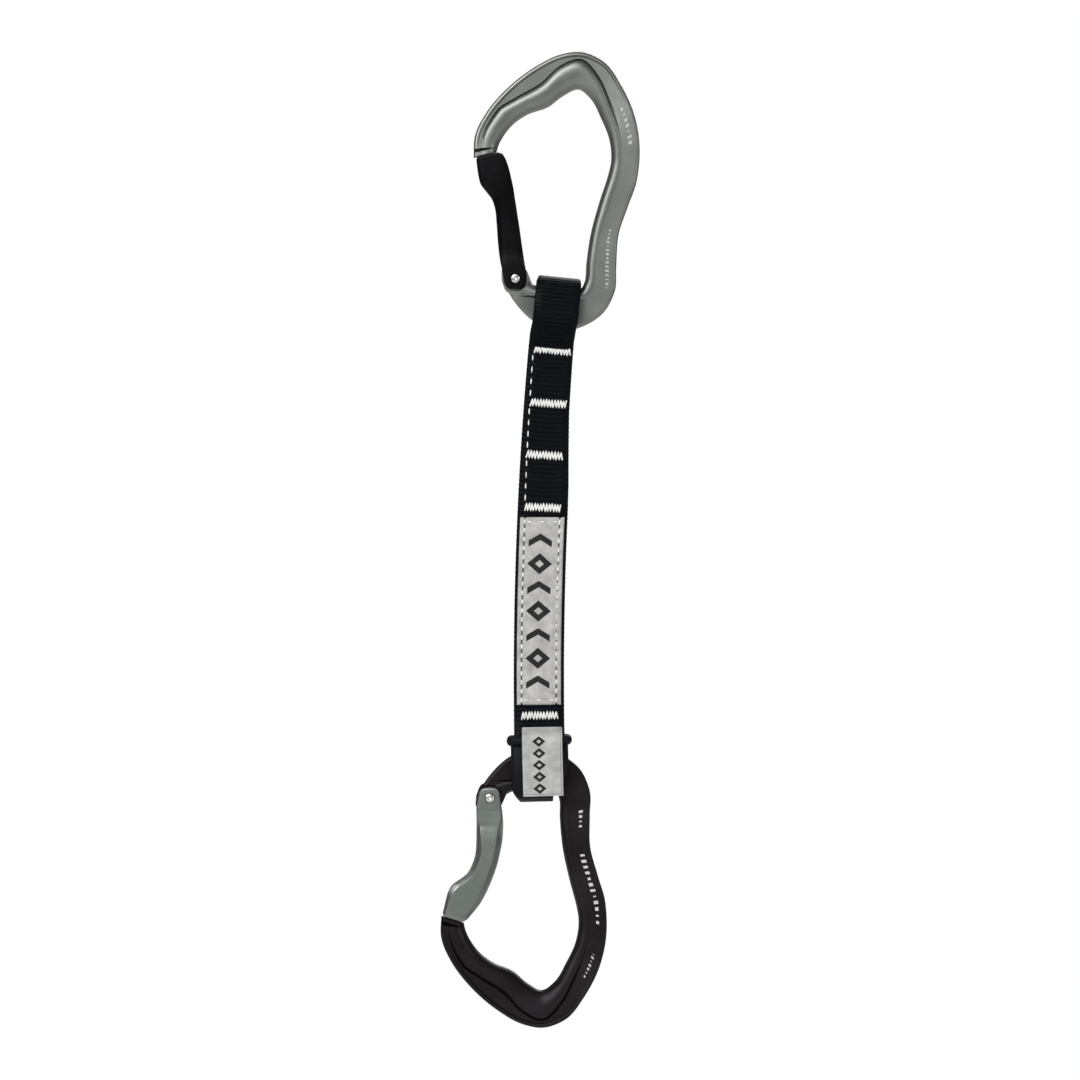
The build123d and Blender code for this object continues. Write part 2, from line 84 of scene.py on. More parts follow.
def smooth_rows(rows, steps):
    """Rows of numbers with a smooth curve run through them, and how far along each new row lies."""
    rows = np.asarray(rows, float)
    gaps = np.hypot(*np.diff((rows[:, 0:2] + rows[:, 2:4]) / 2, axis=0).T)
    at = np.concatenate([[0], np.cumsum(gaps)])
    slope = np.gradient(rows, at, axis=0)
    smooth, along = [], []
    for i, gap in enumerate(gaps):
        count = steps + (i == len(gaps) - 1)
        for t in np.arange(count) / steps:
            a, b = 2 * t**3 - 3 * t**2 + 1, t**3 - 2 * t**2 + t
            c, d = 3 * t**2 - 2 * t**3, t**3 - t**2
            smooth.append(a * rows[i] + b * gap * slope[i] + c * rows[i + 1] + d * gap * slope[i + 1])
            along.append(at[i] + t * gap)
    return np.array(smooth), np.array(along)


def show(name, data):
    made = bpy.data.objects.new(name, data)
    bpy.context.scene.collection.objects.link(made)
    return made


def build(name, points, faces, edges=()):
    mesh = bpy.data.meshes.new(name)
    mesh.from_pydata(points, edges, faces)
    return mesh


def face_outward(mesh):
    work = bmesh.new()
    work.from_mesh(mesh)
    bmesh.ops.recalc_face_normals(work, faces=work.faces)
    work.to_mesh(mesh)
    work.free()


def soften(mesh, sharp):
    """Smooth shading, but for edges that turn more than a given angle."""
    mesh.shade_smooth()
    mesh.set_sharp_from_angle(angle=math.radians(sharp))


def turns(count):
    return [2 * math.pi * i / count for i in range(count)]


def skin(name, rings, along, sharp=35):
    """A closed skin over rings of points, with a cap on each end.

    Its UV map holds the distance along, and the distance round from each ring's middle point."""
    count, size = rings.shape[:2]
    faces = [(i * size + j, i * size + (j + 1) % size, (i + 1) * size + (j + 1) % size, (i + 1) * size + j)
             for i in range(count - 1) for j in range(size)]
    faces += [tuple(range(size))[::-1], tuple(range((count - 1) * size, count * size))]
    mesh = build(name, (rings.reshape(-1, 3) / 1000).tolist(), faces)
    round_it = np.cumsum(np.linalg.norm(np.diff(rings, axis=1), axis=2), axis=1)
    round_it = np.hstack([np.zeros((count, 1)), round_it])
    uv = mesh.uv_layers.new(name="UVMap")
    for face in mesh.polygons[:-2]:
        for corner, loop in enumerate(face.loop_indices):
            i, j = divmod(mesh.loops[loop].vertex_index, size)
            last = face.index % size == size - 1 and corner in (1, 2)
            over = (round_it[i, -1] if last else round_it[i, j]) - round_it[i, size // 2]
            uv.data[loop].uv = (along[i] / 1000, over / 1000)
    face_outward(mesh)
    soften(mesh, sharp)
    return show(name, mesh)


def prism(name, outline, low, high, painted_shade=0.0):
    """Solid of an (x, z) outline between two Y distances. The faces it cuts can be given painted shade."""
    count = len(outline)
    points = [(x / 1000, y / 1000, z / 1000) for y in (low, high) for x, z in outline]
    faces = [(i, (i + 1) % count, (i + 1) % count + count, i + count) for i in range(count)]
    faces += [tuple(range(count))[::-1], tuple(range(count, 2 * count))]
    mesh = build(name, points, faces)
    face_outward(mesh)
    mesh.attributes.new("cut", "FLOAT", "FACE").data.foreach_set("value", [painted_shade] * len(faces))
    return show(name, mesh)


def cone_round_rivet(near, near_radius, far, far_radius, name="scoop"):
    """Cone along Y round the rivet, from one face distance and radius to another."""
    rings = np.array([[(r * math.sin(a), y, r * math.cos(a)) for a in turns(64)]
                      for y, r in ((near, near_radius), (far, far_radius))])
    return skin(name, rings, (0, 1))


def machine(piece, tools, sharp=35, operation="DIFFERENCE"):
    """Cut, or weld on, other solids, and bake the result into the piece's mesh."""
    for tool in tools:
        step = piece.modifiers.new(tool.name, "BOOLEAN")
        step.operation = operation
        step.solver = "EXACT"
        step.object = tool
    bpy.context.view_layer.update()
    done = piece.evaluated_get(bpy.context.evaluated_depsgraph_get())
    mesh = bpy.data.meshes.new_from_object(done)
    piece.modifiers.clear()
    piece.data = mesh
    for tool in tools:
        bpy.data.objects.remove(tool, do_unlink=True)
    soften(mesh, sharp)
    return piece


def polar(angle, distance):
    """(x, z) at a distance from the rivet and an angle from +Z towards +X, in degrees."""
    return distance * math.sin(math.radians(angle)), distance * math.cos(math.radians(angle))


def ring_outline(near, far, start, end, steps=14):
    """Outline of a piece of a ring round the rivet."""
    angles = [start + (end - start) * i / steps for i in range(steps + 1)]
    return [polar(a, near) for a in angles] + [polar(a, far) for a in reversed(angles)]


def curve_outline(points, steps=8):
    """Closed smooth outline through (x, z) points."""
    points = np.array(points, float)
    smooth = []
    for i in range(len(points)):
        p0, p1, p2, p3 = (points[(i + k) % len(points)] for k in (-1, 0, 1, 2))
        for t in np.arange(steps) / steps:
            smooth.append(0.5 * (2 * p1 + (p2 - p0) * t + (2 * p0 - 5 * p1 + 4 * p2 - p3) * t**2
                                 + (3 * p1 - p0 - 3 * p2 + p3) * t**3))
    return [tuple(p) for p in smooth]


def body_profile(width, bead, crest, floor, pocket):
    """Half of the bar's section, from the inner edge over the +Y side to the outer edge.

    Each point is (distance from the inner edge, height, how much painted shade it gets)."""
    least_flat, least_step, full_pocket = 3.2, 0.25, 0.4
    groove, rim_width, edge, edge_drop = 0.66, 1.8, 1.15, 1.35
    bead, crest = min(bead, width - least_flat), max(crest, floor + least_step)
    top = 0.66 * bead
    points = []
    for t in np.linspace(0.5, 1, 10):
        a, b, c, d = (1 - t)**3, 3 * t * (1 - t)**2, 3 * t**2 * (1 - t), t**3
        points.append((top * a - top / 3 * (b + c) + top * d, crest * (d + c - b - a), 0))
    low = floor - pocket
    # Painted shade: the groove beside the bead and the foot of the pocket's rim are darkened in colour, fully
    # where the pocket is 0.4 mm deep.
    painted_shade = min(pocket / full_pocket, 1)
    line = low - 0.7 * pocket
    for t in (0.25, 0.5, 0.75, 0.92):
        u = (1 - t)**2 * top + 2 * t * (1 - t) * 0.97 * bead + t**2 * bead
        points.append((u, (1 - t**2) * crest + t**2 * (floor - 0.35 * pocket), 0))
    points += [(bead, floor - 0.5 * pocket, 0.4 * painted_shade), (bead + 0.16, line, painted_shade), (bead + 0.4, line, painted_shade),
               (bead + groove, low, 0)]
    rim = width - rim_width
    points += [(bead + groove + (rim - 0.2 - bead - groove) * t, low, 0) for t in (0.2, 0.4, 0.6, 0.8, 1.0)]
    points += [(rim + 0.02, low, 0.5 * painted_shade), (rim + 0.3, floor - 0.3 * pocket, 0.25 * painted_shade),
               (rim + 0.6, floor, 0)]
    for angle in (8, 25, 42, 60, 80):
        a = math.radians(angle)
        points.append((width - edge + edge * math.sin(a), floor - edge_drop + edge_drop * math.cos(a), 0))
    points.append((width, 0.4 * (floor - edge_drop), 0))
    return points


def section_ring(first, second, profile):
    """A section's points, stood up on the line between two (x, z) places."""
    first, second = np.array((first[0], 0, first[1])), np.array((second[0], 0, second[1]))
    across = (second - first) / np.linalg.norm(second - first)
    return [first + point[0] * across + np.array((0, point[1], 0)) for point in profile]


def forge_body(name):
    """One body: its bar, then the cuts, then the tang and the nose's key."""
    rows, along = smooth_rows(body_rows, 9)
    rings, recess_shade = [], []
    for xi, zi, xo, zo, bead, crest, floor, pocket in rows:
        half = body_profile(math.hypot(xo - xi, zo - zi), bead, crest, floor, max(pocket, 0.0))
        both = half + [(u, -y, painted_shade) for u, y, painted_shade in reversed(half[1:])]
        rings.append(section_ring((xi, zi), (xo, zo), both))
        recess_shade += [painted_shade for _, _, painted_shade in both]
    piece = skin(name, np.array(rings), along)
    # Each point's painted shade goes to the material as a point attribute.
    piece.data.attributes.new("recess_shade", "FLOAT", "POINT").data.foreach_set("value", recess_shade)
    piece.data.attributes.new("cut", "FLOAT", "FACE")

    # The nose is cut off square to the gate's tip and has a wedge above it. Round the rivet the bar is
    # scooped down to the tang, with a short line pressed below. The wedge's faces get full painted shade,
    # and the line's faces 0.8 of it, as shadow inside them.
    wedge = [(-19.5, 43.4), (-10.0, 46.5), (-15.0, 46.0), (-19.5, 45.1)]
    hinge_line = [(1.1, -6.2), (6.5, -5.75), (12.0, -5.3), (12.0, -6.2), (6.5, -6.5)]
    scoop = 4.7
    tools = [prism("nose_end", ring_outline(36, nose_reach, -30, -5), -8, 8)]
    for side in (-1, 1):
        tools.append(prism("nose_wedge", wedge, *sorted((side * 1.7, side * 8)), 1.0))
        tools.append(prism("hinge_line", hinge_line, *sorted((side * 2.7, side * 8)), 0.8))
        tools.append(cone_round_rivet(side * tang_half, scoop, side * 6, scoop + 0.1))
    machine(piece, tools)

    # The tang, and the key on the nose: a neck and a wider head that the gate's slot closes over.
    tang = curve_outline([(-4.1, 3.4), (-5.1, 2.7), (-5.0, 0.4), (-4.6, -1.6), (-2.6, -4.9), (3.0, -5.5),
                          (7.2, -4.0), (5.9, -1.0), (4.7, 1.6), (3.4, 3.6), (0.8, 3.9), (-2.0, 3.4)])
    key_span = (-21.6, -14.0)
    return machine(piece, [prism("tang", tang, -tang_half, tang_half),
                           prism("key_neck", ring_outline(43.2, nose_reach + 0.6, *key_span), -1.3, 1.3),
                           prism("key_head", ring_outline(41.8, 43.6, *key_span), -2.2, 2.2)],
                   operation="UNION")


def placing(which):
    """Where a carabiner hangs: the upper one crook up, the lower one mirrored, crook down."""
    lean = Matrix.Rotation(math.radians(4.0 if which == "upper" else 0.7), 4, "Y")
    if which == "upper":
        return Matrix.Translation(-(lean @ Vector((crook_seat[0] / 1000, 0, crook_seat[1] / 1000)))) @ lean
    place = Vector((lower_rivet_place[0] / 1000, 0, lower_rivet_place[1] / 1000))
    return Matrix.Translation(place) @ Matrix.Diagonal((1, 1, -1, 1)) @ lean


def hang(piece, which):
    """Turn and place a carabiner piece. The mirrored one's faces are turned back to look outward."""
    piece.data.transform(placing(which))
    if which == "lower":
        piece.data.flip_normals()
    return piece


def dress(piece, material, node, body):
    """Give a finished piece its material, hide the CAD node it stands in for, and attach it to what it moves
    with.
    """
    piece.data.materials.clear()
    piece.data.materials.append(material)
    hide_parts(node)
    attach(piece, body)
    return piece


class Field:
    """A node's output. Every sum it stands in adds a Math node to its tree."""

    def __init__(self, tree, socket):
        self.tree, self.socket = tree, socket


def wire(tree, node, inputs):
    """Set a node's inputs: a value is set, and another node's output is linked."""
    for key, value in dict(inputs).items():
        if isinstance(value, Field):
            tree.links.new(value.socket, node.inputs[key])
        else:
            node.inputs[key].default_value = value


def add(tree, kind, inputs=(), **settings):
    node = tree.nodes.new(kind)
    for key, value in settings.items():
        setattr(node, key, value)
    wire(tree, node, inputs)
    return node


def out(tree, kind, inputs=(), which=0, **settings):
    """One output of a new node."""
    return Field(tree, add(tree, kind, inputs, **settings).outputs[which])


def calc(operation, *values, clamp=False):
    tree = next(value.tree for value in values if isinstance(value, Field))
    return out(tree, "ShaderNodeMath", dict(enumerate(values)), operation=operation, use_clamp=clamp)


for sign, operation in (("add", "ADD"), ("sub", "SUBTRACT"), ("mul", "MULTIPLY"), ("truediv", "DIVIDE"),
                        ("mod", "MODULO"), ("lt", "LESS_THAN"), ("gt", "GREATER_THAN"), ("abs", "ABSOLUTE")):
    setattr(Field, f"__{sign}__", lambda *values, operation=operation: calc(operation, *values))


def mix(factor, first, second, mode="MIX"):
    """A blend of two colours, or their product."""
    tree = next(value.tree for value in (factor, first, second) if isinstance(value, Field))
    return out(tree, "ShaderNodeMix", {0: factor, 6: first, 7: second}, 2, data_type="RGBA", blend_type=mode)


def noise(where, scale, detail, roughness=0.5):
    return out(where.tree, "ShaderNodeTexNoise",
               {"Vector": where, "Scale": scale, "Detail": detail, "Roughness": roughness})


def remap(value, low, high, to_low, to_high, clamp=True):
    return out(value.tree, "ShaderNodeMapRange", {0: value, 1: low, 2: high, 3: to_low, 4: to_high},
               clamp=clamp)


def bump(height, distance, strength):
    return out(height.tree, "ShaderNodeBump", {"Height": height, "Distance": distance, "Strength": strength})


def in_place(tree):
    return out(tree, "ShaderNodeTexCoord", which="Object")


def mapped(tree, scale=1000.0):
    """The UV map's two distances, in millimetres unless another scale is asked for."""
    parts = add(tree, "ShaderNodeSeparateXYZ", {0: out(tree, "ShaderNodeUVMap", uv_map="UVMap")})
    return [Field(tree, parts.outputs[k]) * scale for k in (0, 1)]


def new_material(name):
    material = bpy.data.materials.new(name)
    material.use_nodes = True
    return material, material.node_tree, material.node_tree.nodes["Principled BSDF"]


def new_group(name, inputs, outputs, kind="ShaderNodeTree"):
    """A node group with named sockets. A number or a colour as a socket's value says its kind."""
    group = bpy.data.node_groups.new(name, kind)
    kinds = {float: "NodeSocketFloat", int: "NodeSocketInt", tuple: "NodeSocketColor"}
    for direction, names in (("INPUT", inputs), ("OUTPUT", outputs)):
        for label, value in names.items():
            socket = kinds.get(type(value), value)
            made = group.interface.new_socket(label, in_out=direction, socket_type=socket)
            if socket != value:
                made.default_value = value
    given = {socket.name: Field(group, socket) for socket in add(group, "NodeGroupInput").outputs}
    return group, given, add(group, "NodeGroupOutput")


# Anodised finish: cloudy tone from the dye bath, fine tumbling grain and a few faint handling marks.
anodised, given, put = new_group(
    "anodised finish",
    {"Colour": (0.5, 0.5, 0.5, 1), "Rubbed colour": (0.6, 0.6, 0.6, 1), "Roughness": 0.4, "Rubbing": 0.3},
    {"Colour": "NodeSocketColor", "Roughness": "NodeSocketFloat", "Height": "NodeSocketFloat"})
where = in_place(anodised)
cloud, grain = noise(where, 55.0, 4.0, 0.55), noise(where, 2600.0, 2.0)
stretched = out(anodised, "ShaderNodeMapping",
                {"Vector": where, "Scale": (260.0, 260.0, 2600.0), "Rotation": (0.3, 0.5, 0.2)})
marks = remap(noise(stretched, 1.0, 3.0), 0.63, 0.74, 0.0, 1.0)
rubbed = remap(cloud, 0.42, 0.68, 0.0, 1.0) * given["Rubbing"]
tone = mix(marks * 0.12, mix(rubbed, given["Colour"], given["Rubbed colour"]), given["Rubbed colour"])
rough = calc("SUBTRACT", given["Roughness"] + (cloud - 0.5) * 0.16, marks * 0.06, clamp=True)
wire(anodised, put, {"Colour": tone, "Roughness": rough, "Height": grain - marks * 0.5})


def anodised_metal(name, colour, rubbed_colour, roughness, rubbing, metallic=1.0, gloss=0.5):
    """Anodised aluminium, with painted shade in the body's groove and rim and on faces cut by the nose wedge
    and hinge line. Gives the material, shader, colour and roughness.
    """
    material, tree, shader = new_material(name)
    finish = add(tree, "ShaderNodeGroup", {"Colour": (*colour, 1), "Rubbed colour": (*rubbed_colour, 1),
                                           "Roughness": roughness, "Rubbing": rubbing}, node_tree=anodised)
    tone, rough, height = (Field(tree, finish.outputs[label]) for label in ("Colour", "Roughness", "Height"))
    # Painted shade: the body's groove-and-rim shade and the shade on cut faces darken the colour, down to
    # 0.16 of it.
    recess_shade = calc("MAXIMUM", *(out(tree, "ShaderNodeAttribute", which="Fac", attribute_name=label)
                               for label in ("recess_shade", "cut")))
    tone = mix(1.0, tone, mix(recess_shade, (1.0, 1.0, 1.0, 1), (0.16, 0.16, 0.16, 1)), "MULTIPLY")
    wire(tree, shader, {"Base Color": tone, "Roughness": rough, "Normal": bump(height, 0.000012, 0.6),
                        "Metallic": metallic, "Specular IOR Level": gloss})
    return material, shader, tone, rough


def laser_marks(shader, tone, rough, spans, colour):
    """Rows of small plain bars and dots, marked by laser down the spine's flat face."""
    mark_line = 7.6
    along, over = mapped(tone.tree)
    total = None
    for start, end, pitch, size in spans:
        cell = (along - start) / pitch
        chance = out(tone.tree, "ShaderNodeTexWhiteNoise", {"W": calc("FLOOR", cell)}, "Value",
                     noise_dimensions="1D")
        inside = abs(calc("FRACT", cell) - 0.5) < chance * 0.2 + 0.1
        level = abs(over - mark_line) < calc("FRACT", chance * 7.0) * (0.5 * size) + 0.5 * size
        mark = inside * level * ((along > start) * (along < end))
        total = mark if total is None else calc("MAXIMUM", total, mark)
    wire(tone.tree, shader, {"Base Color": mix(total, tone, (*colour, 1)), "Roughness": rough + total * 0.25})


titanium_grey, *look = anodised_metal(
    "titanium grey anodised", (0.20, 0.213, 0.197), (0.29, 0.30, 0.275), 0.45, 0.6)
laser_marks(*look, [(70.0, 83.0, 1.9, 0.95), (113.0, 134.0, 1.45, 0.7)], (0.52, 0.53, 0.51))
brown_black, *look = anodised_metal(
    "black anodised", (0.0165, 0.0135, 0.0155), (0.035, 0.0295, 0.033), 0.42, 0.5, metallic=0.85, gloss=0.2)
laser_marks(*look, [(69.0, 77.5, 1.35, 0.7), (87.0, 114.0, 2.2, 1.0), (122.0, 129.0, 1.7, 0.95)],
            (0.60, 0.60, 0.58))
for which, metal in (("upper", titanium_grey), ("lower", brown_black)):
    body = hang(forge_body(f"{which}_body"), which)
    dress(body, metal, f"{which}_frame", f"{which}_carabiner")

# ---------------------------------------------------------------- gates
# Solid aluminium gates: the upper straight and black, the lower bent and silver. Each is milled flat round
# the rivet, steps down to a bevelled arm, and swells to a thumb rest before the slotted tip.

# Outer edge (x, z), inner edge (x, z), half thickness, outer bevel width, inner bevel width, bevel drop.
straight_gate_rows = (
    (-2.1, -3.75, 2.2, -3.7, 3.8, 0.4, 0.4, 0.3),
    (-3.0, -3.3, 3.1, -3.1, 4.2, 0.5, 0.5, 0.4),
    (-3.7, -2.4, 3.7, -2.1, 4.3, 0.5, 0.5, 0.4),
    (-4.2, -0.8, 4.0, -0.4, 4.3, 0.5, 0.5, 0.4),
    (-4.8, 2.0, 3.8, 2.2, 4.3, 0.4, 0.4, 0.4),
    (-5.7, 5.2, 3.0, 5.6, 4.25, 0.6, 0.6, 0.6),
    (-6.4, 8.2, 2.3, 8.6, 3.9, 1.3, 1.5, 1.1),
    (-7.2, 12.7, 1.4, 12.8, 3.85, 1.7, 1.9, 1.5),
    (-8.2, 19.7, -0.1, 19.8, 3.95, 1.9, 1.9, 1.6),
    (-9.1, 24.7, -1.3, 25.1, 4.05, 2.0, 1.9, 1.6),
    (-10.6, 28.2, -2.2, 29.0, 4.1, 2.7, 1.8, 1.5),
    (-12.7, 30.6, -2.9, 32.2, 4.15, 3.2, 1.6, 1.2),
    (-14.9, 33.2, -3.7, 35.0, 4.2, 2.2, 1.4, 0.9),
    (-15.9, 36.2, -4.6, 38.0, 4.25, 1.3, 1.2, 0.8),
    (-16.5, 38.8, -5.6, 40.8, 4.3, 1.0, 1.1, 0.7),
    (-16.9, 41.0, -7.0, 43.5, 4.3, 0.8, 0.9, 0.6),
    (-16.9, 42.1, -8.2, 44.7, 4.2, 0.6, 0.6, 0.5),
    (-16.6, 42.6, -9.2, 44.85, 3.9, 0.3, 0.3, 0.3),
)
bent_gate_rows = (
    (-2.1, -3.75, 1.9, -3.75, 3.8, 0.4, 0.4, 0.3),
    (-3.0, -3.2, 3.0, -3.15, 4.2, 0.5, 0.5, 0.4),
    (-3.8, -2.3, 3.7, -2.2, 4.3, 0.5, 0.5, 0.4),
    (-4.3, -0.6, 3.9, -0.6, 4.3, 0.5, 0.5, 0.4),
    (-4.8, 2.2, 4.0, 2.4, 4.3, 0.4, 0.4, 0.4),
    (-4.9, 5.0, 4.4, 5.2, 4.25, 0.6, 0.6, 0.5),
    (-4.9, 7.3, 4.6, 7.5, 3.3, 0.9, 0.9, 0.5),
    (-4.9, 9.4, 4.7, 9.6, 3.05, 1.2, 1.5, 0.7),
    (-4.95, 12.0, 4.6, 12.2, 3.4, 1.4, 2.0, 1.1),
    (-5.05, 15.6, 4.3, 15.6, 3.75, 1.7, 2.2, 1.5),
    (-5.4, 20.0, 3.6, 19.2, 3.8, 2.1, 2.2, 1.6),
    (-6.7, 24.1, 2.6, 23.4, 3.85, 2.1, 2.3, 1.5),
    (-8.8, 27.6, 1.2, 27.6, 3.9, 2.4, 2.3, 1.4),
    (-11.5, 29.6, -0.2, 31.0, 3.95, 2.6, 2.2, 1.3),
    (-13.9, 31.3, -1.8, 34.4, 4.0, 2.2, 2.1, 1.1),
    (-15.5, 33.9, -3.6, 37.6, 4.1, 1.7, 2.0, 1.0),
    (-16.4, 37.0, -5.5, 40.1, 4.15, 1.2, 1.8, 0.9),
    (-17.1, 39.8, -7.4, 42.3, 4.2, 1.0, 1.4, 0.8),
    (-17.4, 41.6, -9.0, 43.9, 4.2, 0.8, 0.9, 0.6),
    (-17.1, 42.35, -10.2, 44.5, 3.9, 0.3, 0.3, 0.3),
)


def gate_profile(width, half, outer_bevel, inner_bevel, drop):
    """Half of a gate's section: a bevel up from the outer edge, a flat face and a steeper bevel down."""
    lip, steeper = 0.35, 1.45
    edge, inner_edge = half - drop, half - steeper * drop
    points = [(0, 0), (0, 0.5 * edge), (0.03, 0.84 * edge), (0.12, 0.94 * edge), (lip, edge)]
    points += [(lip + (outer_bevel - lip) * t, edge + drop * t) for t in (0.4, 0.8)]
    points += [(outer_bevel - 0.02, half - 0.03), (outer_bevel + 0.2, half)]
    points += [(outer_bevel + (width - outer_bevel - inner_bevel) * t, half) for t in (0.3, 0.7)]
    points += [(width - inner_bevel - 0.2, half), (width - inner_bevel + 0.02, half - 0.03)]
    points += [(width - lip - (inner_bevel - lip) * t, inner_edge + steeper * drop * t) for t in (0.8, 0.4)]
    points += [(width - lip, inner_edge), (width - 0.12, 0.94 * inner_edge),
               (width - 0.03, 0.84 * inner_edge), (width, 0.5 * inner_edge), (width, 0)]
    return points


def mill_gate(name, rows):
    """Gate with its fork for the tang, its slot for the nose's key, and the rivet's hole with sunk ends."""
    rows, along = smooth_rows(rows, 6)
    rings = []
    for xo, zo, xi, zi, half, outer_bevel, inner_bevel, drop in rows:
        side = gate_profile(math.hypot(xi - xo, zi - zo), half, outer_bevel, inner_bevel, drop)
        rings.append(section_ring((xo, zo), (xi, zi), side + [(u, -y) for u, y in reversed(side[1:-1])]))
    ear_gap, neck_gap, head_gap, hole = 2.3, 1.65, 2.55, 1.28
    tools = [prism("fork", ring_outline(0.01, 7.6, 0, 356, 60)[61:], -ear_gap, ear_gap),
             prism("neck_slot", ring_outline(43.0, 48, -31, -13.55), -neck_gap, neck_gap),
             prism("head_slot", ring_outline(41.45, 43.95, -30, -13.4), -head_gap, head_gap),
             cone_round_rivet(-6, hole, 6, hole, "rivet_hole")]
    tools += [cone_round_rivet(side * 3.75, 1.8, side * 6, 1.95, "rivet_sink") for side in (-1, 1)]
    return machine(skin(name, np.array(rings), along, 24), tools, 24)


satin_black, *_ = anodised_metal("satin black anodised", (0.004, 0.0038, 0.0046), (0.015, 0.0145, 0.016),
                                 0.36, 0.4, metallic=0.7, gloss=0.15)
satin_silver, *_ = anodised_metal("satin silver anodised", (0.20, 0.222, 0.208), (0.28, 0.30, 0.28),
                                  0.38, 0.5)
for which, name, rows, metal in (("upper", "straight_gate", straight_gate_rows, satin_black),
                                 ("lower", "bent_gate", bent_gate_rows, satin_silver)):
    dress(hang(mill_gate(name, rows), which), metal, f"{which}_gate", f"{which}_gate_arm")

# ---------------------------------------------------------------- rivets, springs and plungers
# A steel rivet is pressed through the gate's two ears and the tang, and its ends are spun into low domes with
# a small dimple. The coil spring and the plunger sit out of sight in the gate's bore.

# Radius and distance from the middle, from the shank out over the domed head to its dimple.
rivet_half_profile = (
    (1.2, 0.0), (1.2, 3.2), (1.55, 3.75), (1.66, 3.95), (1.66, 4.16), (1.58, 4.3), (1.38, 4.46), (1.05, 4.58),
    (0.72, 4.64), (0.55, 4.63), (0.42, 4.55), (0.3, 4.46), (0.15, 4.42),
)
bore_tilt = Matrix.Rotation(math.radians(-8.0), 4, "Y")
coil_start, coil_length, plunger_travel = 0.01155, 0.0121, 0.0014


def spin_rivet(name):
    profile = [(r, -y) for r, y in reversed(rivet_half_profile[1:])] + list(rivet_half_profile)
    rings = np.array([[(r * math.sin(a), y, r * math.cos(a)) for a in turns(32)] for r, y in profile])
    return skin(name, rings, np.arange(len(rings)) * 0.5, 40)


def new_tree(name, inputs):
    """A geometry tree with named inputs, a material among them."""
    tree, given, put = new_group(name, {**inputs, "Material": "NodeSocketMaterial"},
                                 {"Geometry": "NodeSocketGeometry"}, "GeometryNodeTree")
    tree.is_modifier = True
    return tree, given, put


def end_tree(tree, given, put, geometry):
    whole = out(tree, "GeometryNodeRealizeInstances", {"Geometry": geometry})
    coated = out(tree, "GeometryNodeSetMaterial", {"Geometry": whole, "Material": given["Material"]})
    wire(tree, put, {"Geometry": coated})


def grow(name, tree, material, values, mesh=None):
    """Run a geometry tree on a mesh, or on nothing, and keep the result as a plain piece."""
    piece = show(name, mesh or bpy.data.meshes.new(name))
    step = piece.modifiers.new(tree.name, "NODES")
    step.node_group = tree
    values = {**values, "Material": material}
    for item in tree.interface.items_tree:
        if item.in_out == "INPUT" and item.name in values:
            step[item.identifier] = values[item.name]
    bpy.context.view_layer.update()
    made = bpy.data.meshes.new_from_object(piece.evaluated_get(bpy.context.evaluated_depsgraph_get()))
    piece.modifiers.clear()
    piece.data = made
    return piece


def wire_along(tree, curve, radius, sides):
    """A round thread or wire along a curve, with closed ends."""
    ring = out(tree, "GeometryNodeCurvePrimitiveCircle", {"Resolution": sides, "Radius": radius})
    return out(tree, "GeometryNodeCurveToMesh", {"Curve": curve, "Profile Curve": ring, "Fill Caps": True})


coil_spring, given, put = new_tree(
    "coil spring", {"Turns": 9.0, "Length": coil_length, "Radius": 0.0009, "Wire": 0.00025})
helix = out(coil_spring, "GeometryNodeCurveSpiral", {
    "Resolution": 24, "Rotations": given["Turns"], "Height": given["Length"],
    "Start Radius": given["Radius"], "End Radius": given["Radius"]})
end_tree(coil_spring, given, put, wire_along(coil_spring, helix, given["Wire"], 10))

bright_steel, tree, shader = new_material("bright steel")
turned = noise(in_place(tree), 1500.0, 3.0)
wire(tree, shader, {"Base Color": mix(turned, (0.52, 0.52, 0.51, 1), (0.74, 0.74, 0.72, 1)), "Metallic": 1.0,
                    "Roughness": remap(turned, 0.3, 0.7, 0.16, 0.34), "Normal": bump(turned, 0.00001, 0.4)})

for which in ("upper", "lower"):
    dress(hang(spin_rivet(f"{which}_rivet"), which), bright_steel, f"{which}_gate_rivet",
          f"{which}_carabiner")
    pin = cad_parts[f"{which}_gate_plunger"]
    pin.data.materials.clear()
    pin.data.materials.append(bright_steel)
for which in ("upper", "lower"):
    coil = grow(f"{which}_spring", coil_spring, bright_steel, {
        "Turns": 9.0, "Length": coil_length, "Radius": 0.0009, "Wire": 0.00025})
    coil.data.transform(bore_tilt @ Matrix.Translation((0, 0, coil_start)))
    soften(coil.data, 50)
    dress(hang(coil, which), bright_steel, f"{which}_gate_spring", f"{which}_gate_arm")
    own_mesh(coil)

# ---------------------------------------------------------------- webbing
# One strap of ribbed nylon webbing, 18 mm wide with smooth selvedges, laid into a loop. It goes round an eye
# at each end, and its two legs lie on each other between the eyes. The ribs are the heavy weft showing.

line_x, line_z, line_bow = -14.15, -212.0, 0.000376
strap_thick = 2.0
upper_eye, lower_eye = -78.8, -244.9
lower_eye_shape = (6.9, 8.1, 17.5)


def on_line(places, across, y):
    """Points beside the sling's centre line. Round an eye the line is straight, and between them it bows."""
    places, across = np.asarray(places, float), np.asarray(across, float)
    held = np.where(places > upper_eye - 8, upper_eye, np.where(places < lower_eye + 12, lower_eye, places))
    lean = np.arctan(2 * line_bow * (held - line_z))
    x = line_x + line_bow * (held - line_z)**2 + (places - held) * np.tan(lean)
    return np.stack([x + across * np.cos(lean), np.broadcast_to(y, x.shape), places - across * np.sin(lean)],
                    -1) / 1000


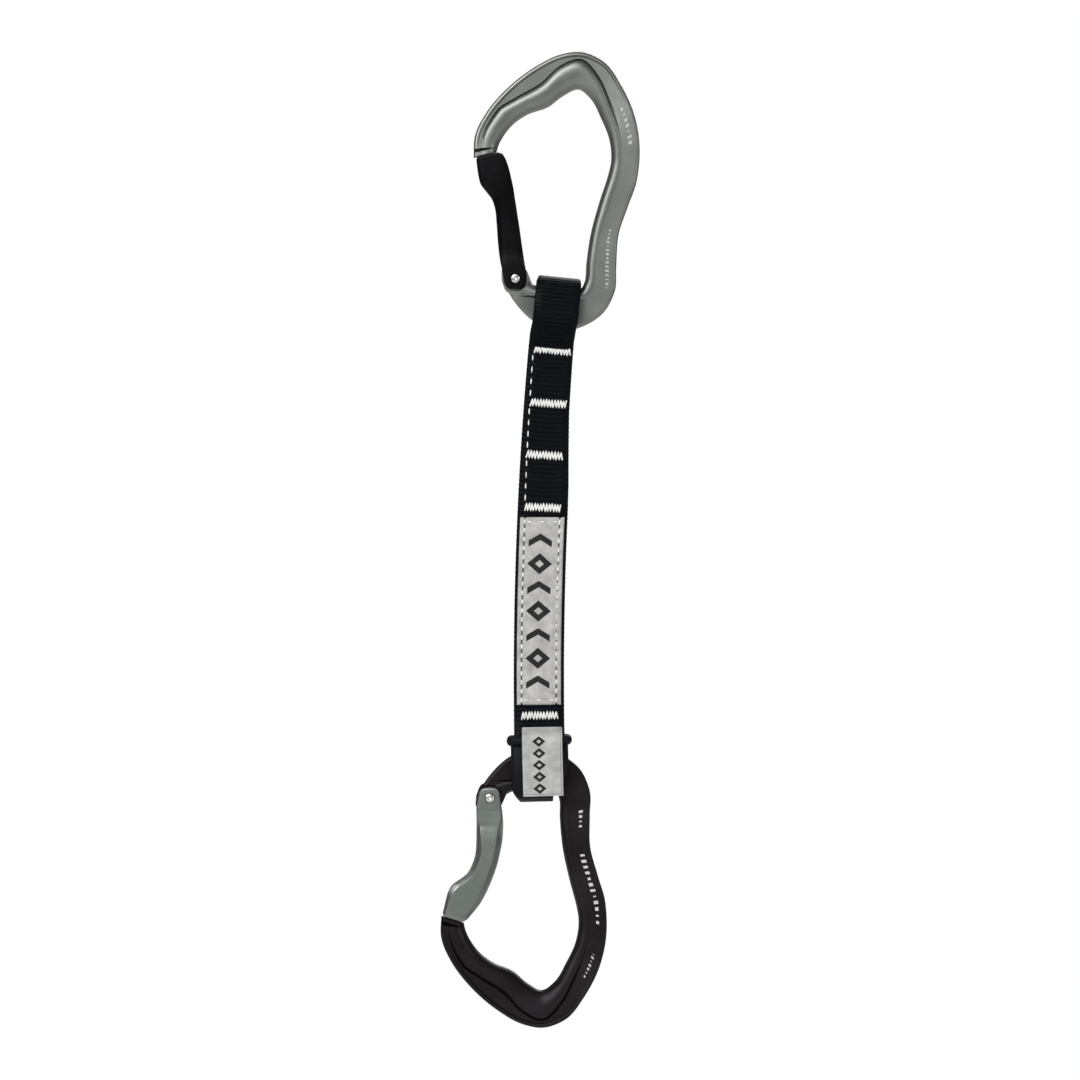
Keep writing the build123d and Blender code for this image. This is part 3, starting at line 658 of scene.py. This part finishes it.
def eye_side(centre, up, half_width, half_length, apex):
    """The strap's inner face down one side of an eye, from its far end to where the legs meet."""
    straight = half_length - half_width
    lean = math.asin(half_width / (apex - straight))
    points = [(half_width * math.sin(a), straight + half_width * math.cos(a))
              for a in np.linspace(0, math.pi / 2, 40)]
    points += [(half_width * math.cos(a), -straight - half_width * math.sin(a))
               for a in np.linspace(0, lean, 16)]
    points += [(0.02, -apex)]
    return [(-y, centre + up * v) for y, v in points]


def even(points, step):
    """Points spaced evenly along a path, and the path's length."""
    points = np.asarray(points, float)
    at = np.concatenate([[0], np.cumsum(np.linalg.norm(np.diff(points, axis=0), axis=1))])
    new = np.linspace(0, at[-1], max(int(round(at[-1] / step)), 2) + 1)
    return np.stack([np.interp(new, at, points[:, k]) for k in range(points.shape[1])], -1), at[-1]


def ease(path):
    """The same path with its inner points drawn a little towards their neighbours."""
    return 0.25 * path[:-2] + 0.5 * path[1:-1] + 0.25 * path[2:]


def corner_points(mesh):
    order = np.empty(len(mesh.loops), np.int32)
    mesh.loops.foreach_get("vertex_index", order)
    return order


def set_uv(mesh, coords):
    mesh.uv_layers.new(name="UVMap").data.foreach_set("uv", coords.astype(np.float32).ravel())


# The strap's inner face as a closed path of (y, z), spaced so that a whole number of ribs goes round.
front, _ = even(
    eye_side(upper_eye, 1, 8.4, 8.5, 13.5) + eye_side(lower_eye, -1, *lower_eye_shape)[::-1], 0.25)
for _ in range(60):
    front[1:-1] = ease(front)
front[:, 0] = np.minimum(front[:, 0], -0.02)
front[[0, -1], 0] = 0
loop = np.vstack([front, (front * (-1, 1))[::-1][1:]])
rib_pitch, rib_steps, outer_extra = 1.65, 8, 11
_, loop_length = even(loop, 1)
ribs = round((loop_length + outer_extra) / rib_pitch)
loop = even(loop, loop_length / (ribs * rib_steps))[0][:-1]
step = np.roll(loop, -1, 0) - np.roll(loop, 1, 0)
step /= np.linalg.norm(step, axis=1)[:, None] + 1e-12
normal = np.stack([step[:, 1], -step[:, 0]], -1)
if normal[0, 1] < 0:
    normal = -normal
for _ in range(6):
    normal = 0.25 * np.roll(normal, 1, 0) + 0.5 * normal + 0.25 * np.roll(normal, -1, 0)
    normal /= np.linalg.norm(normal, axis=1)[:, None]
thick = strap_thick + np.interp(loop[:, 1] - upper_eye, (4.5, 9.0), (0.0, 1.2))
outer = loop + thick[:, None] * normal
along = np.concatenate([[0], np.cumsum(np.linalg.norm(np.diff(outer, axis=0), axis=1))])
lap = along[-1] + np.linalg.norm(outer[0] - outer[-1])
rib_pitch = lap / round(lap / rib_pitch)

# The strap is gathered in the eyes, and its right side stays narrower from the upper eye to the label.
from_upper, from_lower = loop[:, 1] - upper_eye, lower_eye - loop[:, 1]
left = np.interp(from_upper, (-70, -20, -9, -5, 7.4, 10.4), (9.0, 9.1, 8.9, 8.4, 8.4, 7.2))
right = np.interp(from_upper, (-72, -63, -50, -37, -24, -11, -7, -3, 1, 5.8, 7.6, 10.4),
                  (9.0, 8.8, 8.1, 7.4, 7.2, 7.0, 7.3, 7.75, 7.75, 7.75, 7.6, 6.8))
left = np.minimum(left, np.interp(from_lower, (5.8, 10.4), (9.0, 6.7)))
right = np.minimum(right, np.interp(from_lower, (-3.5, 2.4, 5.8, 10.4), (9.0, 7.1, 4.0, 3.4)))
ribbed = np.interp(from_upper, (5.5, 7.5), (1.0, 0.0))

# Round the strap's section: side, how far in from the edge, and how deep, 1 being the outer face.
selvedge, scallop = 0.62, 0.09
section = [(f, selvedge, 1.0) for f in np.linspace(-1, 1, 19)]
section += [(1, 0.2, 0.93), (1, 0.0, 0.68), (1, 0.0, 0.32), (1, 0.2, 0.07), (1, selvedge, 0.0), (0, 0, 0.0),
            (-1, selvedge, 0.0), (-1, 0.2, 0.07), (-1, 0.0, 0.32), (-1, 0.0, 0.68), (-1, 0.2, 0.93)]
grid, out_vectors, data = [], [], []
for side, inset, depth in section:
    half = np.where(side < 0, left, right) + scallop * np.abs(np.sin(math.pi * along / rib_pitch))
    across = side * (half - inset)
    place = loop + (thick * depth - (0.3 if depth > 0.9 else 0.0))[:, None] * normal
    grid.append(on_line(place[:, 1], across, place[:, 0]))
    smooth_edge = np.where(across < 0, 2.3, 1.7)
    ridge = np.clip((half - np.abs(across) - smooth_edge + 0.5) / 0.5, 0, 1) * ribbed
    out_vectors.append(np.stack([0 * ridge, normal[:, 0], normal[:, 1]], -1))
    data.append(np.stack([(depth == 1.0) * ridge, (depth == 1.0) * 0.2 * (1 - ridge), across, along], -1))
grid, out_vectors, data = (np.array(a).transpose(1, 0, 2) for a in (grid, out_vectors, data))
rows, size = grid.shape[:2]
faces = [(i * size + j, i * size + (j + 1) % size, (i + 1) % rows * size + (j + 1) % size,
          (i + 1) % rows * size + j) for i in range(rows) for j in range(size)]
strap = build("webbing", grid.reshape(-1, 3).tolist(), faces)
for k, label in enumerate(("lift", "plain", "across", "along")):
    strap.attributes.new(label, "FLOAT", "POINT").data.foreach_set(
        "value", data[:, :, k].ravel().astype(np.float32))
strap.attributes.new("out", "FLOAT_VECTOR", "POINT").data.foreach_set(
    "vector", out_vectors.ravel().astype(np.float32))
ring, spot = np.divmod(corner_points(strap), size)
wrapped = (np.repeat(np.arange(len(faces)) // size, 4) == rows - 1) & (ring == 0)
set_uv(strap, np.stack([data[ring, spot, 2], data[ring, spot, 3] + wrapped * lap], -1) / 1000)


def read(tree, label, kind="FLOAT"):
    return out(tree, "GeometryNodeInputNamedAttribute", {"Name": label}, "Attribute", data_type=kind)


weft_ribs, given, put = new_tree(
    "weft ribs", {"Geometry": "NodeSocketGeometry", "Pitch": 0.00165, "Height": 0.0003, "Arch": 0.4})
side = read(weft_ribs, "across") / 9.0
run = read(weft_ribs, "along") / (given["Pitch"] * 1000.0) + side * side * given["Arch"]
swell = calc("POWER", abs(calc("SINE", run * math.pi)), 0.65)
rise = (swell * read(weft_ribs, "lift") + read(weft_ribs, "plain")) * given["Height"]
move = out(weft_ribs, "ShaderNodeVectorMath", {0: read(weft_ribs, "out", "FLOAT_VECTOR"), "Scale": rise},
           operation="SCALE")
end_tree(weft_ribs, given, put, out(
    weft_ribs, "GeometryNodeSetPosition", {"Geometry": given["Geometry"], "Offset": move}))

# Yarn finish: short bright and dull runs of filament across each other, the bright ones a painted sheen,
# for webbing, label and tag alike. On the webbing one weft run falls on each rib, so it paints a highlight
# along each rib's crest and shade in the grooves between.
yarn, given, put = new_group(
    "yarn", {"Colour": (0.5, 0.5, 0.5, 1), "Sheen colour": (0.6, 0.6, 0.6, 1), "Warp per metre": 1600.0,
             "Weft per metre": 1600.0}, {"Colour": "NodeSocketColor", "Height": "NodeSocketFloat"})
warp, weft = (abs(calc("SINE", distance * given[f"{way} per metre"] * math.pi))
              for distance, way in zip(mapped(yarn, 1.0), ("Warp", "Weft")))
fuzz = noise(in_place(yarn), 900.0, 4.0)
woven = (warp * 0.3 + 0.7) * (weft * 0.75 + 0.25)
patch = remap(noise(in_place(yarn), 260.0, 5.0), 0.3, 0.7, 0.72, 1.12, clamp=False)
# Painted sheen: the tops of the yarns take the lighter colour; on the webbing this is a painted highlight on
# each rib's crest.
tone = mix(woven * fuzz, given["Colour"], given["Sheen colour"])
wire(yarn, put, {"Colour": out(yarn, "ShaderNodeVectorMath", {0: tone, "Scale": patch}, operation="SCALE"),
                 "Height": woven + fuzz * 0.5})


def cloth(name, colour, sheen_colour, warp, weft, roughness, depth, gloss):
    """Woven cloth. Gives the material, its tree and shader, and the colour before any print."""
    material, tree, shader = new_material(name)
    weave = add(tree, "ShaderNodeGroup", {"Colour": (*colour, 1), "Sheen colour": (*sheen_colour, 1),
                                          "Warp per metre": warp, "Weft per metre": weft}, node_tree=yarn)
    tone = Field(tree, weave.outputs["Colour"])
    wire(tree, shader, {"Base Color": tone, "Roughness": roughness, "Specular IOR Level": gloss,
                        "Normal": bump(Field(tree, weave.outputs["Height"]), depth, 0.7)})
    return material, tree, shader, tone


# The webbing's second, lighter colour is its painted rib highlight.
navy_nylon, *_ = cloth("navy nylon webbing", (0.0002, 0.0005, 0.0011), (0.0030, 0.0046, 0.0080),
                       1700.0, 606.0, 0.45, 0.00012, 0.07)
webbing = grow("webbing", weft_ribs, navy_nylon, {"Pitch": rib_pitch / 1000, "Height": 0.00042, "Arch": 0.35},
               strap)
face_outward(webbing.data)
webbing.data.shade_smooth()
dress(webbing, navy_nylon, "sling_webbing", "sling")

# ---------------------------------------------------------------- bar tacks
# Five dense zigzags of bonded white thread through both legs of the webbing. They make the eyes and carry the
# load. Each shows as the same tight zigzag on the front and on the back.

tack_places = (-93.9, -113.0, -131.6, -150.4, -225.2)
tack_shifts = (-0.35, -0.25, -0.4, 0.0, 0.2)
tack_width, tack_height, tack_thread = 12.9, 2.8, 0.27
tack_rise = 2.12

zigzag, given, put = new_tree(
    "bar tack zigzag", {"Width": 0.0139, "Height": 0.0034, "Points": 27, "Thread": 0.00025, "Seed": 1})
half_width = given["Width"] * 0.5
ends = [out(zigzag, "ShaderNodeCombineXYZ", {0: x}) for x in (half_width * -1.0, half_width)]
base = out(zigzag, "GeometryNodeCurvePrimitiveLine", {"Start": ends[0], "End": ends[1]})
dotted = out(zigzag, "GeometryNodeResampleCurve", {"Curve": base, "Count": given["Points"]})
swing = (out(zigzag, "GeometryNodeInputIndex") % 2.0 - 0.5) * given["Height"]
uneven = out(zigzag, "FunctionNodeRandomValue", {
    0: (-0.00012, -0.00004, -0.00016), 1: (0.00012, 0.00004, 0.00016), "Seed": given["Seed"]},
    data_type="FLOAT_VECTOR")
offset = out(zigzag, "ShaderNodeVectorMath", {0: out(zigzag, "ShaderNodeCombineXYZ", {2: swing}), 1: uneven})
bent = out(zigzag, "GeometryNodeSetPosition", {"Geometry": dotted, "Offset": offset})
fine = out(zigzag, "GeometryNodeSubdivideCurve", {"Curve": bent, "Cuts": 4})
end_tree(zigzag, given, put, wire_along(zigzag, fine, given["Thread"], 8))

white_thread, tree, shader = new_material("bonded white thread")
where = in_place(tree)
twist = out(tree, "ShaderNodeTexWave", {"Vector": where, "Scale": 900.0, "Distortion": 1.5, "Detail": 1.0},
            bands_direction="DIAGONAL")
pale = mix(noise(where, 220.0, 3.0), (0.70, 0.70, 0.66, 1), (0.86, 0.86, 0.83, 1))
wire(tree, shader, {"Base Color": mix(twist * 0.14, pale, (0.45, 0.45, 0.42, 1)), "Roughness": 0.6,
                    "Sheen Weight": 0.2, "Normal": bump(twist, 0.00004, 0.5)})


def lay(piece, place, y, across=0.0):
    """Lay a piece, drawn about the origin, on the sling's centre line or beside it."""
    lean = math.atan(2 * line_bow * (place - line_z))
    spot = Vector(on_line([place], [across], y)[0])
    piece.data.transform(Matrix.Translation(spot) @ Matrix.Rotation(lean, 4, "Y"))
    return piece


def join(name, pieces):
    """Weld several meshes into one piece."""
    work = bmesh.new()
    for piece in pieces:
        work.from_mesh(piece.data)
        bpy.data.objects.remove(piece, do_unlink=True)
    mesh = bpy.data.meshes.new(name)
    work.to_mesh(mesh)
    work.free()
    return show(name, mesh)


for number, (place, shift) in enumerate(zip(tack_places, tack_shifts), start=1):
    both = []
    for side in (-1, 1):
        tack = grow("tack_face", zigzag, white_thread, {
            "Width": tack_width / 1000, "Height": tack_height / 1000, "Points": 25 if number % 2 else 26,
            "Thread": tack_thread / 1000, "Seed": number * 3 + side})
        tack.data.transform(Matrix.Diagonal((1, 0.8, 1, 1)))
        both.append(lay(tack, place, side * tack_rise, shift))
    tack = join(f"bar_tack_thread_{number}", both)
    tack.data.shade_smooth()
    dress(tack, white_thread, f"bar_tack_{number}", "sling")

# ---------------------------------------------------------------- running seam
# A lengthwise lock stitch in white thread down the left edge, between the upper eye and the label. It keeps
# the two legs' edges together between the bar tacks.

seam_rise, seam_pitch = 2.06, 3.2

stitch_row, given, put = new_tree("stitch row", {
    "Geometry": "NodeSocketGeometry", "Pitch": 0.00325, "Length": 0.0019, "Thread": 0.0007, "Seed": 1})
path = out(stitch_row, "GeometryNodeMeshToCurve", {"Mesh": given["Geometry"]})
spots = out(stitch_row, "GeometryNodeResampleCurve", {"Curve": path, "Length": given["Pitch"]}, mode="LENGTH")
ball = out(stitch_row, "GeometryNodeMeshUVSphere", {"Segments": 10, "Rings": 7, "Radius": 0.5})
shape = out(stitch_row, "ShaderNodeCombineXYZ", {0: given["Length"], 1: given["Thread"] * 0.75,
                                                 2: given["Thread"]})
stitch = out(stitch_row, "GeometryNodeTransform", {"Geometry": ball, "Scale": shape})
turned = out(stitch_row, "FunctionNodeAlignRotationToVector",
             {"Vector": out(stitch_row, "GeometryNodeInputTangent")}, axis="X", pivot_axis="Y")
uneven = out(stitch_row, "FunctionNodeRandomValue", {
    0: (0.92, 0.9, 0.88), 1: (1.06, 1.1, 1.1), "Seed": given["Seed"]}, data_type="FLOAT_VECTOR")
end_tree(stitch_row, given, put, out(stitch_row, "GeometryNodeInstanceOnPoints", {
    "Points": spots, "Instance": stitch, "Rotation": turned, "Scale": uneven}))


def sew(name, node, runs, pitch, length, thread, seed):
    """Stitches along open runs of points, as one finished piece."""
    points, edges = [], []
    for run in runs:
        edges += [(len(points) + i, len(points) + i + 1) for i in range(len(run) - 1)]
        points += [tuple(p) for p in run]
    seam = grow(name, stitch_row, white_thread, {
        "Pitch": pitch / 1000, "Length": length / 1000, "Thread": thread / 1000, "Seed": seed},
        build(name, points, [], edges))
    seam.data.shade_smooth()
    dress(seam, white_thread, node, "sling")


runs = []
for y in (-seam_rise, seam_rise):
    for top, bottom in zip(tack_places[:3], tack_places[1:4]):
        inset = tack_height / 2 + 1.9
        places = np.linspace(top - inset, bottom + inset, 5)
        runs.append(on_line(places, np.interp(places, (-147, -97), (-6.5, -7.2)), y))
sew("running_seam", "running_stitch", runs, seam_pitch, 2.3, 0.5, 5)

# ---------------------------------------------------------------- label
# A long label of grey reflective cloth with turned edges, laid over the lap of the webbing and lock-stitched
# all round. The stitches pull its edge down into small puckers. Its print is a plain row of shapes.

label_top, label_bottom, label_half, label_seam = -153.9, -221.4, 7.95, 1.7
label_face, label_back, label_tilt = 2.12, 2.03, 0.35
seam_side, seam_length = label_half - label_seam, label_top - label_bottom - 2 * label_seam
seam_gap = seam_length / round(seam_length / seam_pitch)


def closed_sheet(name, front, back, flat):
    """A thin closed sheet from two grids of points, joined round the rim, with its flat (x, y) as UV map."""
    rows, count = front.shape[:2]
    spare = rows * count
    faces = []
    for i in range(rows - 1):
        for j in range(count - 1):
            a, b, c, d = i * count + j, i * count + j + 1, (i + 1) * count + j + 1, (i + 1) * count + j
            faces += [(a, b, c, d), (d + spare, c + spare, b + spare, a + spare)]
    rim = [i * count for i in range(rows)] + [(rows - 1) * count + j for j in range(1, count)]
    rim += [i * count + count - 1 for i in range(rows - 2, -1, -1)] + list(range(count - 2, 0, -1))
    faces += [(a, b, b + spare, a + spare) for a, b in zip(rim, rim[1:] + rim[:1])]
    mesh = build(name, np.vstack([front.reshape(-1, 3), back.reshape(-1, 3)]).tolist(), faces)
    set_uv(mesh, np.vstack([flat.reshape(-1, 2)] * 2)[corner_points(mesh)] / 1000)
    face_outward(mesh)
    soften(mesh, 60)
    return show(name, mesh)


across, place = np.meshgrid(np.linspace(-label_half, label_half, 33),
                            np.linspace(label_bottom, label_top, 136))
tilt = label_tilt * across / label_half * np.clip((place - label_top + 12) / 12, 0, 1)
from_side = np.abs(np.abs(across) - seam_side)
from_end = np.minimum(np.abs(place - label_top + label_seam), np.abs(place - label_bottom - label_seam))
needle = np.cos(2 * math.pi * (place - label_top + label_seam) / seam_gap)
pull = 0.26 * np.exp(-(np.minimum(from_side, from_end) / 0.55)**2)
pucker = 0.13 * needle * np.exp(-((np.abs(across) - seam_side) / 1.6)**2)
ripple = (0.05 * np.sin(place * 0.55 + 1.3) * np.cos(across * 0.22)
          + 0.04 * np.sin(place * 1.15 + across * 0.3))
crown = 0.16 * (1 - (across / label_half)**4)
fold_line = 5.0
fold = 0.1 * np.exp(-((across - fold_line) / 0.35)**2)
edge = np.minimum(label_half - np.abs(across), np.minimum(label_top - place, place - label_bottom))
turned_edge = 0.42 * np.sqrt(np.clip(edge / 0.45, 0, 1))
y_out = -(label_face + turned_edge + crown - pull + pucker + ripple - fold)
label = closed_sheet("label", on_line(place + tilt, across, y_out),
                     on_line(place + tilt, across, np.full_like(across, -label_back)),
                     np.stack([across, place - label_bottom], -1))

# Print: lozenges and chevrons by turns up the middle. Painted shade makes a dark dash between the stitches
# of each side seam, and one crease runs down the right side with a painted shade line along it.
reflective_cloth, tree, shader, tone = cloth(
    "grey reflective cloth", (0.38, 0.375, 0.36), (0.56, 0.555, 0.535), 2600.0, 2600.0, 0.5, 0.00008, 0.25)
over, up_label = mapped(tree)
print_pitch, print_start, print_end = 8.5, 4.0, 63.5
cell = (up_label - print_start) / print_pitch
rise = (calc("FRACT", cell) - 0.5) * print_pitch
wide = abs(over + 0.4)
lozenge = wide / 4.5 + abs(rise) / 3.8
lozenge = (lozenge < 1.0) * (lozenge > 0.36)
chevron = (abs(rise + wide * 0.6 - 1.2) < 1.15) * (wide < 4.2)
by_turns = calc("FLOOR", cell) % 2.0 > 0.5
shape = lozenge * by_turns + chevron * calc("SUBTRACT", 1.0, by_turns)
shape = calc("MULTIPLY", shape, (up_label > print_start) * (up_label < print_end), clamp=True)
# Painted shade: dashes between the side seams' stitches, and a line down the crease.
between = abs(calc("FRACT", (up_label - label_seam) / seam_gap) - 0.5) < 0.24
stitch_gap_shade = between * (abs(abs(over) - seam_side) < 0.3)
crease_shade = abs(over - fold_line) < 0.12
tone = mix(crease_shade * 0.35, tone, (0.2, 0.2, 0.185, 1))
tone = mix(stitch_gap_shade * 0.9, tone, (0.03, 0.03, 0.03, 1))
wire(tree, shader, {"Base Color": mix(shape, tone, (0.008, 0.008, 0.009, 1))})
dress(label, reflective_cloth, "sling_label", "sling")

# ---------------------------------------------------------------- label's seam
# White lock stitch all round the label, 1.7 mm in from its edge, through label and webbing. The top run tilts
# with the label's top edge.

seam_y = -2.66
first, last = label_top - label_seam, label_bottom + label_seam
runs = [on_line(np.linspace(first, last, 60), np.full(60, side * seam_side), np.full(60, seam_y))
        for side in (-1, 1)]
for place, lift in ((first, label_tilt * seam_side / label_half), (last, 0.0)):
    over = np.linspace(-seam_side + seam_pitch / 2, seam_side - seam_pitch / 2, 8)
    runs.append(on_line(place + lift * over / seam_side, over, np.full(8, seam_y)))
sew("label_seam_thread", "label_stitch", runs, seam_gap, 1.7, 0.6, 9)

# ---------------------------------------------------------------- rubber keeper
# A moulded rubber sheath pulled over the lower eye. It is closed below, its mouth has a thick rolled lip,
# and a hole in each side grips the lower carabiner's bar, so that the carabiner can't turn in the sling.

# Distance below the eye's centre, left and right edge, half depth front to back.
keeper_rows = (
    (-10.9, -10.25, 10.25, 6.75), (-8.0, -10.3, 10.3, 8.1), (-5.0, -10.3, 10.3, 9.35),
    (-1.5, -10.3, 10.2, 10.1), (1.0, -10.3, 9.7, 10.15), (3.6, -10.3, 8.3, 9.85), (6.6, -10.25, 5.3, 8.7),
    (8.6, -9.4, 4.8, 6.9), (10.2, -8.3, 4.5, 4.7), (11.1, -7.6, 4.4, 2.2), (11.35, -7.3, 4.3, 1.0),
)
lip_place, lip_half_width, lip_half_depth, lip_radius = 10.8, 10.0, 7.45, 1.7
hollow_wall, hollow_top, bar_hole_top = 2.05, 12.0, 8.4


def rounded_box(left, right, depth, corner, steps=6):
    """Points round a rectangle with round corners, about the eye's centre."""
    points = []
    for cx, cy, start in ((right, depth, 0), (left, depth, 90), (left, -depth, 180), (right, -depth, 270)):
        cx, cy = cx - math.copysign(corner, cx - (left + right) / 2), cy - math.copysign(corner, cy)
        points += [(cx + corner * math.cos(math.radians(start + 90 * i / steps)),
                    cy + corner * math.sin(math.radians(start + 90 * i / steps))) for i in range(steps + 1)]
    return points


def eye_prism(name, half_width, half_length, apex, wall, span, top):
    """Bar along X with the eye's drop-shaped section, cut level at the top."""
    straight = half_length - half_width
    lean = math.asin(half_width / (apex - straight))
    radius = half_width + wall
    side = [(radius * math.sin(a), -straight - radius * math.cos(a)) for a in np.linspace(0, math.pi / 2, 16)]
    side += [(radius * math.cos(a), straight + radius * math.sin(a)) for a in np.linspace(0, lean, 6)]
    slope_y, slope_z = radius * math.cos(lean), straight + radius * math.sin(lean)
    side.append((slope_y - (top - slope_z) * math.tan(lean), top))
    outline = side + [(-y, z) for y, z in reversed(side[1:])]
    return skin(name, np.array([[(x, y, z) for y, z in outline] for x in span]), (0, 1))


# The sheath, hollowed for the sling. The hollow's right half stops above the slanting lower right corner.
rows, along = smooth_rows([(l, -d, r, -d, depth) for d, l, r, depth in keeper_rows], 5)
rings = [[(x, y, z) for x, y in rounded_box(l, r, depth, min(2.2, 0.85 * depth))]
         for l, z, r, _, depth in rows]
keeper = skin("keeper_sheath", np.array(rings), along, 50)
hollow, right_hollow = (eye_prism(name, *lower_eye_shape, hollow_wall, span, hollow_top)
                        for name, span in (("hollow", (-9.05, 3.2)), ("right_hollow", (3.1, 9.05))))
corner = [(3.3, -12), (12, -12), (12, -4.0), (7.3, -4.0), (4.0, -6.5)]
machine(right_hollow, [prism("corner", corner, -14, 14)])
bar_hole = eye_prism("bar_hole", *lower_eye_shape, 0.0, (-15, 15), bar_hole_top)
machine(keeper, [hollow, right_hollow, bar_hole], 50)

# The lip: a round roll run once round the mouth and closed on itself.
path = rounded_box(-lip_half_width, lip_half_width, lip_half_depth, 2.0, 8)
path = [p for i, p in enumerate(path) if math.dist(p, path[i - 1]) > 0.01]
rings = []
for i, (x, y) in enumerate(path):
    before, after = path[i - 1], path[(i + 1) % len(path)]
    along_x, along_y = after[0] - before[0], after[1] - before[1]
    size = math.hypot(along_x, along_y)
    radius = lip_radius * (1 + 0.06 * math.cos(2 * math.atan2(y, x)))
    rings.append([(x + radius * math.cos(a) * along_y / size, y - radius * math.cos(a) * along_x / size,
                   lip_place + radius * 1.05 * math.sin(a)) for a in turns(18)])
rings.append(rings[0])
lip = skin("lip", np.array(rings), np.arange(len(rings)) * 1.0, 60)
work = bmesh.new()
work.from_mesh(lip.data)
bmesh.ops.delete(work, geom=[f for f in work.faces if len(f.verts) > 4], context="FACES_ONLY")
bmesh.ops.remove_doubles(work, verts=work.verts, dist=1e-6)
bmesh.ops.recalc_face_normals(work, faces=work.faces)
work.to_mesh(lip.data)
work.free()
keeper = lay(join("keeper", [keeper, lip]), lower_eye, 0.0)
soften(keeper.data, 50)

blue_black_rubber, tree, shader = new_material("blue-black moulded rubber")
bloom, grain = noise(in_place(tree), 140.0, 4.0), noise(in_place(tree), 1800.0, 2.0)
wire(tree, shader, {
    "Base Color": mix(bloom, (0.0012, 0.002, 0.0036, 1), (0.003, 0.0044, 0.007, 1)),
    "Roughness": remap(bloom, 0.3, 0.7, 0.5, 0.68), "Normal": bump(grain, 0.00003, 0.5),
    "Specular IOR Level": 0.14})
dress(keeper, blue_black_rubber, "rubber_keeper", "sling")

# ---------------------------------------------------------------- end tag
# A small tag of fine grey woven cloth, sewn into the sling above the keeper's mouth. It lies over the rolled
# lip and hangs down the keeper's front. It has a woven line just inside its right and bottom edges.

tag_half, tag_thick, tag_shift = 7.2, 0.42, 1.0

# Front to back and up from the lower eye's centre, from the tag's sewn end down to its free end.
tag_path, tag_length = even([
    (-3.3, 15.2), (-4.0, 14.7), (-6.2, 13.9), (-8.4, 12.9), (-9.5, 11.7), (-10.0, 9.6), (-10.25, 6.5),
    (-10.45, 3.0), (-10.55, -1.0), (-10.5, -5.0), (-10.42, -9.0)], 0.4)
for _ in range(4):
    tag_path[1:-1] = ease(tag_path)
step = np.gradient(tag_path, axis=0)
step /= np.linalg.norm(step, axis=1)[:, None]
facing = np.stack([step[:, 1], -step[:, 0]], -1)
facing *= np.sign(-facing[-1, 0])
across, down = np.meshgrid(np.linspace(-tag_half, tag_half, 25), np.linspace(0, tag_length, len(tag_path)))
wave = (0.10 * np.sin(across * 0.55 + 0.8) + 0.05 * np.cos(across * 1.1)) * down / tag_length
grids = []
for depth in (tag_thick, 0.0):
    edge = 1 - 0.35 * (depth > 0) * (np.abs(across) > tag_half - 0.35)
    offset = depth * edge + np.clip(wave, 0, None)
    grids.append(on_line(lower_eye + tag_path[:, 1:] + facing[:, 1:] * offset, across + tag_shift,
                         tag_path[:, :1] + facing[:, :1] * offset))
tag = closed_sheet("end_tag_cloth", *grids, np.stack([across + tag_half, down], -1))

woven_tag, tree, shader, tone = cloth("grey woven tag", (0.36, 0.36, 0.355), (0.54, 0.54, 0.53),
                                      3300.0, 4200.0, 0.55, 0.00006, 0.2)
over, along_tag = mapped(tree)
woven_line = calc("MAXIMUM", abs(over - 13.7) < 0.14, abs(along_tag - (tag_length - 0.7)) < 0.14)
print_pitch, print_start, print_middle = 4.2, 6.4, 6.0
cell = (along_tag - print_start) / print_pitch
lozenge = abs(over - print_middle) / 2.4 + abs((calc("FRACT", cell) - 0.5) * print_pitch) / 1.9
lozenge = (lozenge < 1.0) * (lozenge > 0.38) * ((cell > 0.0) * (cell < 5.0))
tone = mix(woven_line * 0.6, tone, (0.12, 0.12, 0.12, 1))
wire(tree, shader, {"Base Color": mix(lozenge, tone, (0.009, 0.009, 0.01, 1))})
dress(tag, woven_tag, "end_tag", "sling")

# ---------------------------------------------------------------- studio
# The quickdraw hangs free above a plain pale floor, in soft light from above and both sides.

camera_distance, framed_width = 2.3, 0.3888
middle = Vector((-0.014, 0, -0.16))

camera = show("camera", bpy.data.cameras.new("camera"))
camera.data.sensor_width = 36.0
camera.data.lens = 36.0 * camera_distance / framed_width
camera.location = (-0.01375, -camera_distance, -0.1621)
camera.rotation_euler = (math.radians(90), 0, 0)
camera.data.clip_start, camera.data.clip_end = 0.1, 20.0
bpy.context.scene.camera = camera

mesh = build("floor", [(1.2 * math.cos(a), 1.2 * math.sin(a), -0.47) for a in turns(96)], [tuple(range(96))])
pale, tree, shader = new_material("pale floor")
wire(tree, shader, {"Base Color": (0.86, 0.86, 0.86, 1), "Roughness": 0.8})
mesh.materials.append(pale)
show("floor", mesh)

for name, place, size, power in (
        ("key light", (-1.1, -1.7, 1.2), 2.2, 64.0),
        ("front light", (0.1, -3.0, 0.1), 2.0, 3.5),
        ("right light", (1.6, -1.1, 0.1), 1.0, 8.0),
        ("back light", (0.4, 1.5, 0.7), 1.0, 9.0)):
    light = show(name, bpy.data.lights.new(name, "AREA"))
    light.data.shape = "DISK"
    light.data.size = size
    light.data.energy = power
    light.location = place
    light.rotation_euler = (middle - Vector(place)).to_track_quat("-Z", "Y").to_euler()

# The sky lights the draw a little from above, and shows plain white behind it.
world = bpy.data.worlds.new("studio")
world.use_nodes = True
bpy.context.scene.world = world
tree = world.node_tree
sky = out(tree, "ShaderNodeTexCoord", which="Generated")
glow = remap(out(tree, "ShaderNodeSeparateXYZ", {0: sky}, 2), -1.0, 1.0, 0.04, 0.32)
seen = out(tree, "ShaderNodeLightPath", which="Is Camera Ray")
wire(tree, tree.nodes["Background"], {"Color": mix(seen, glow, (1.0, 1.0, 1.0, 1))})
bpy.context.scene.view_settings.view_transform = "Standard"
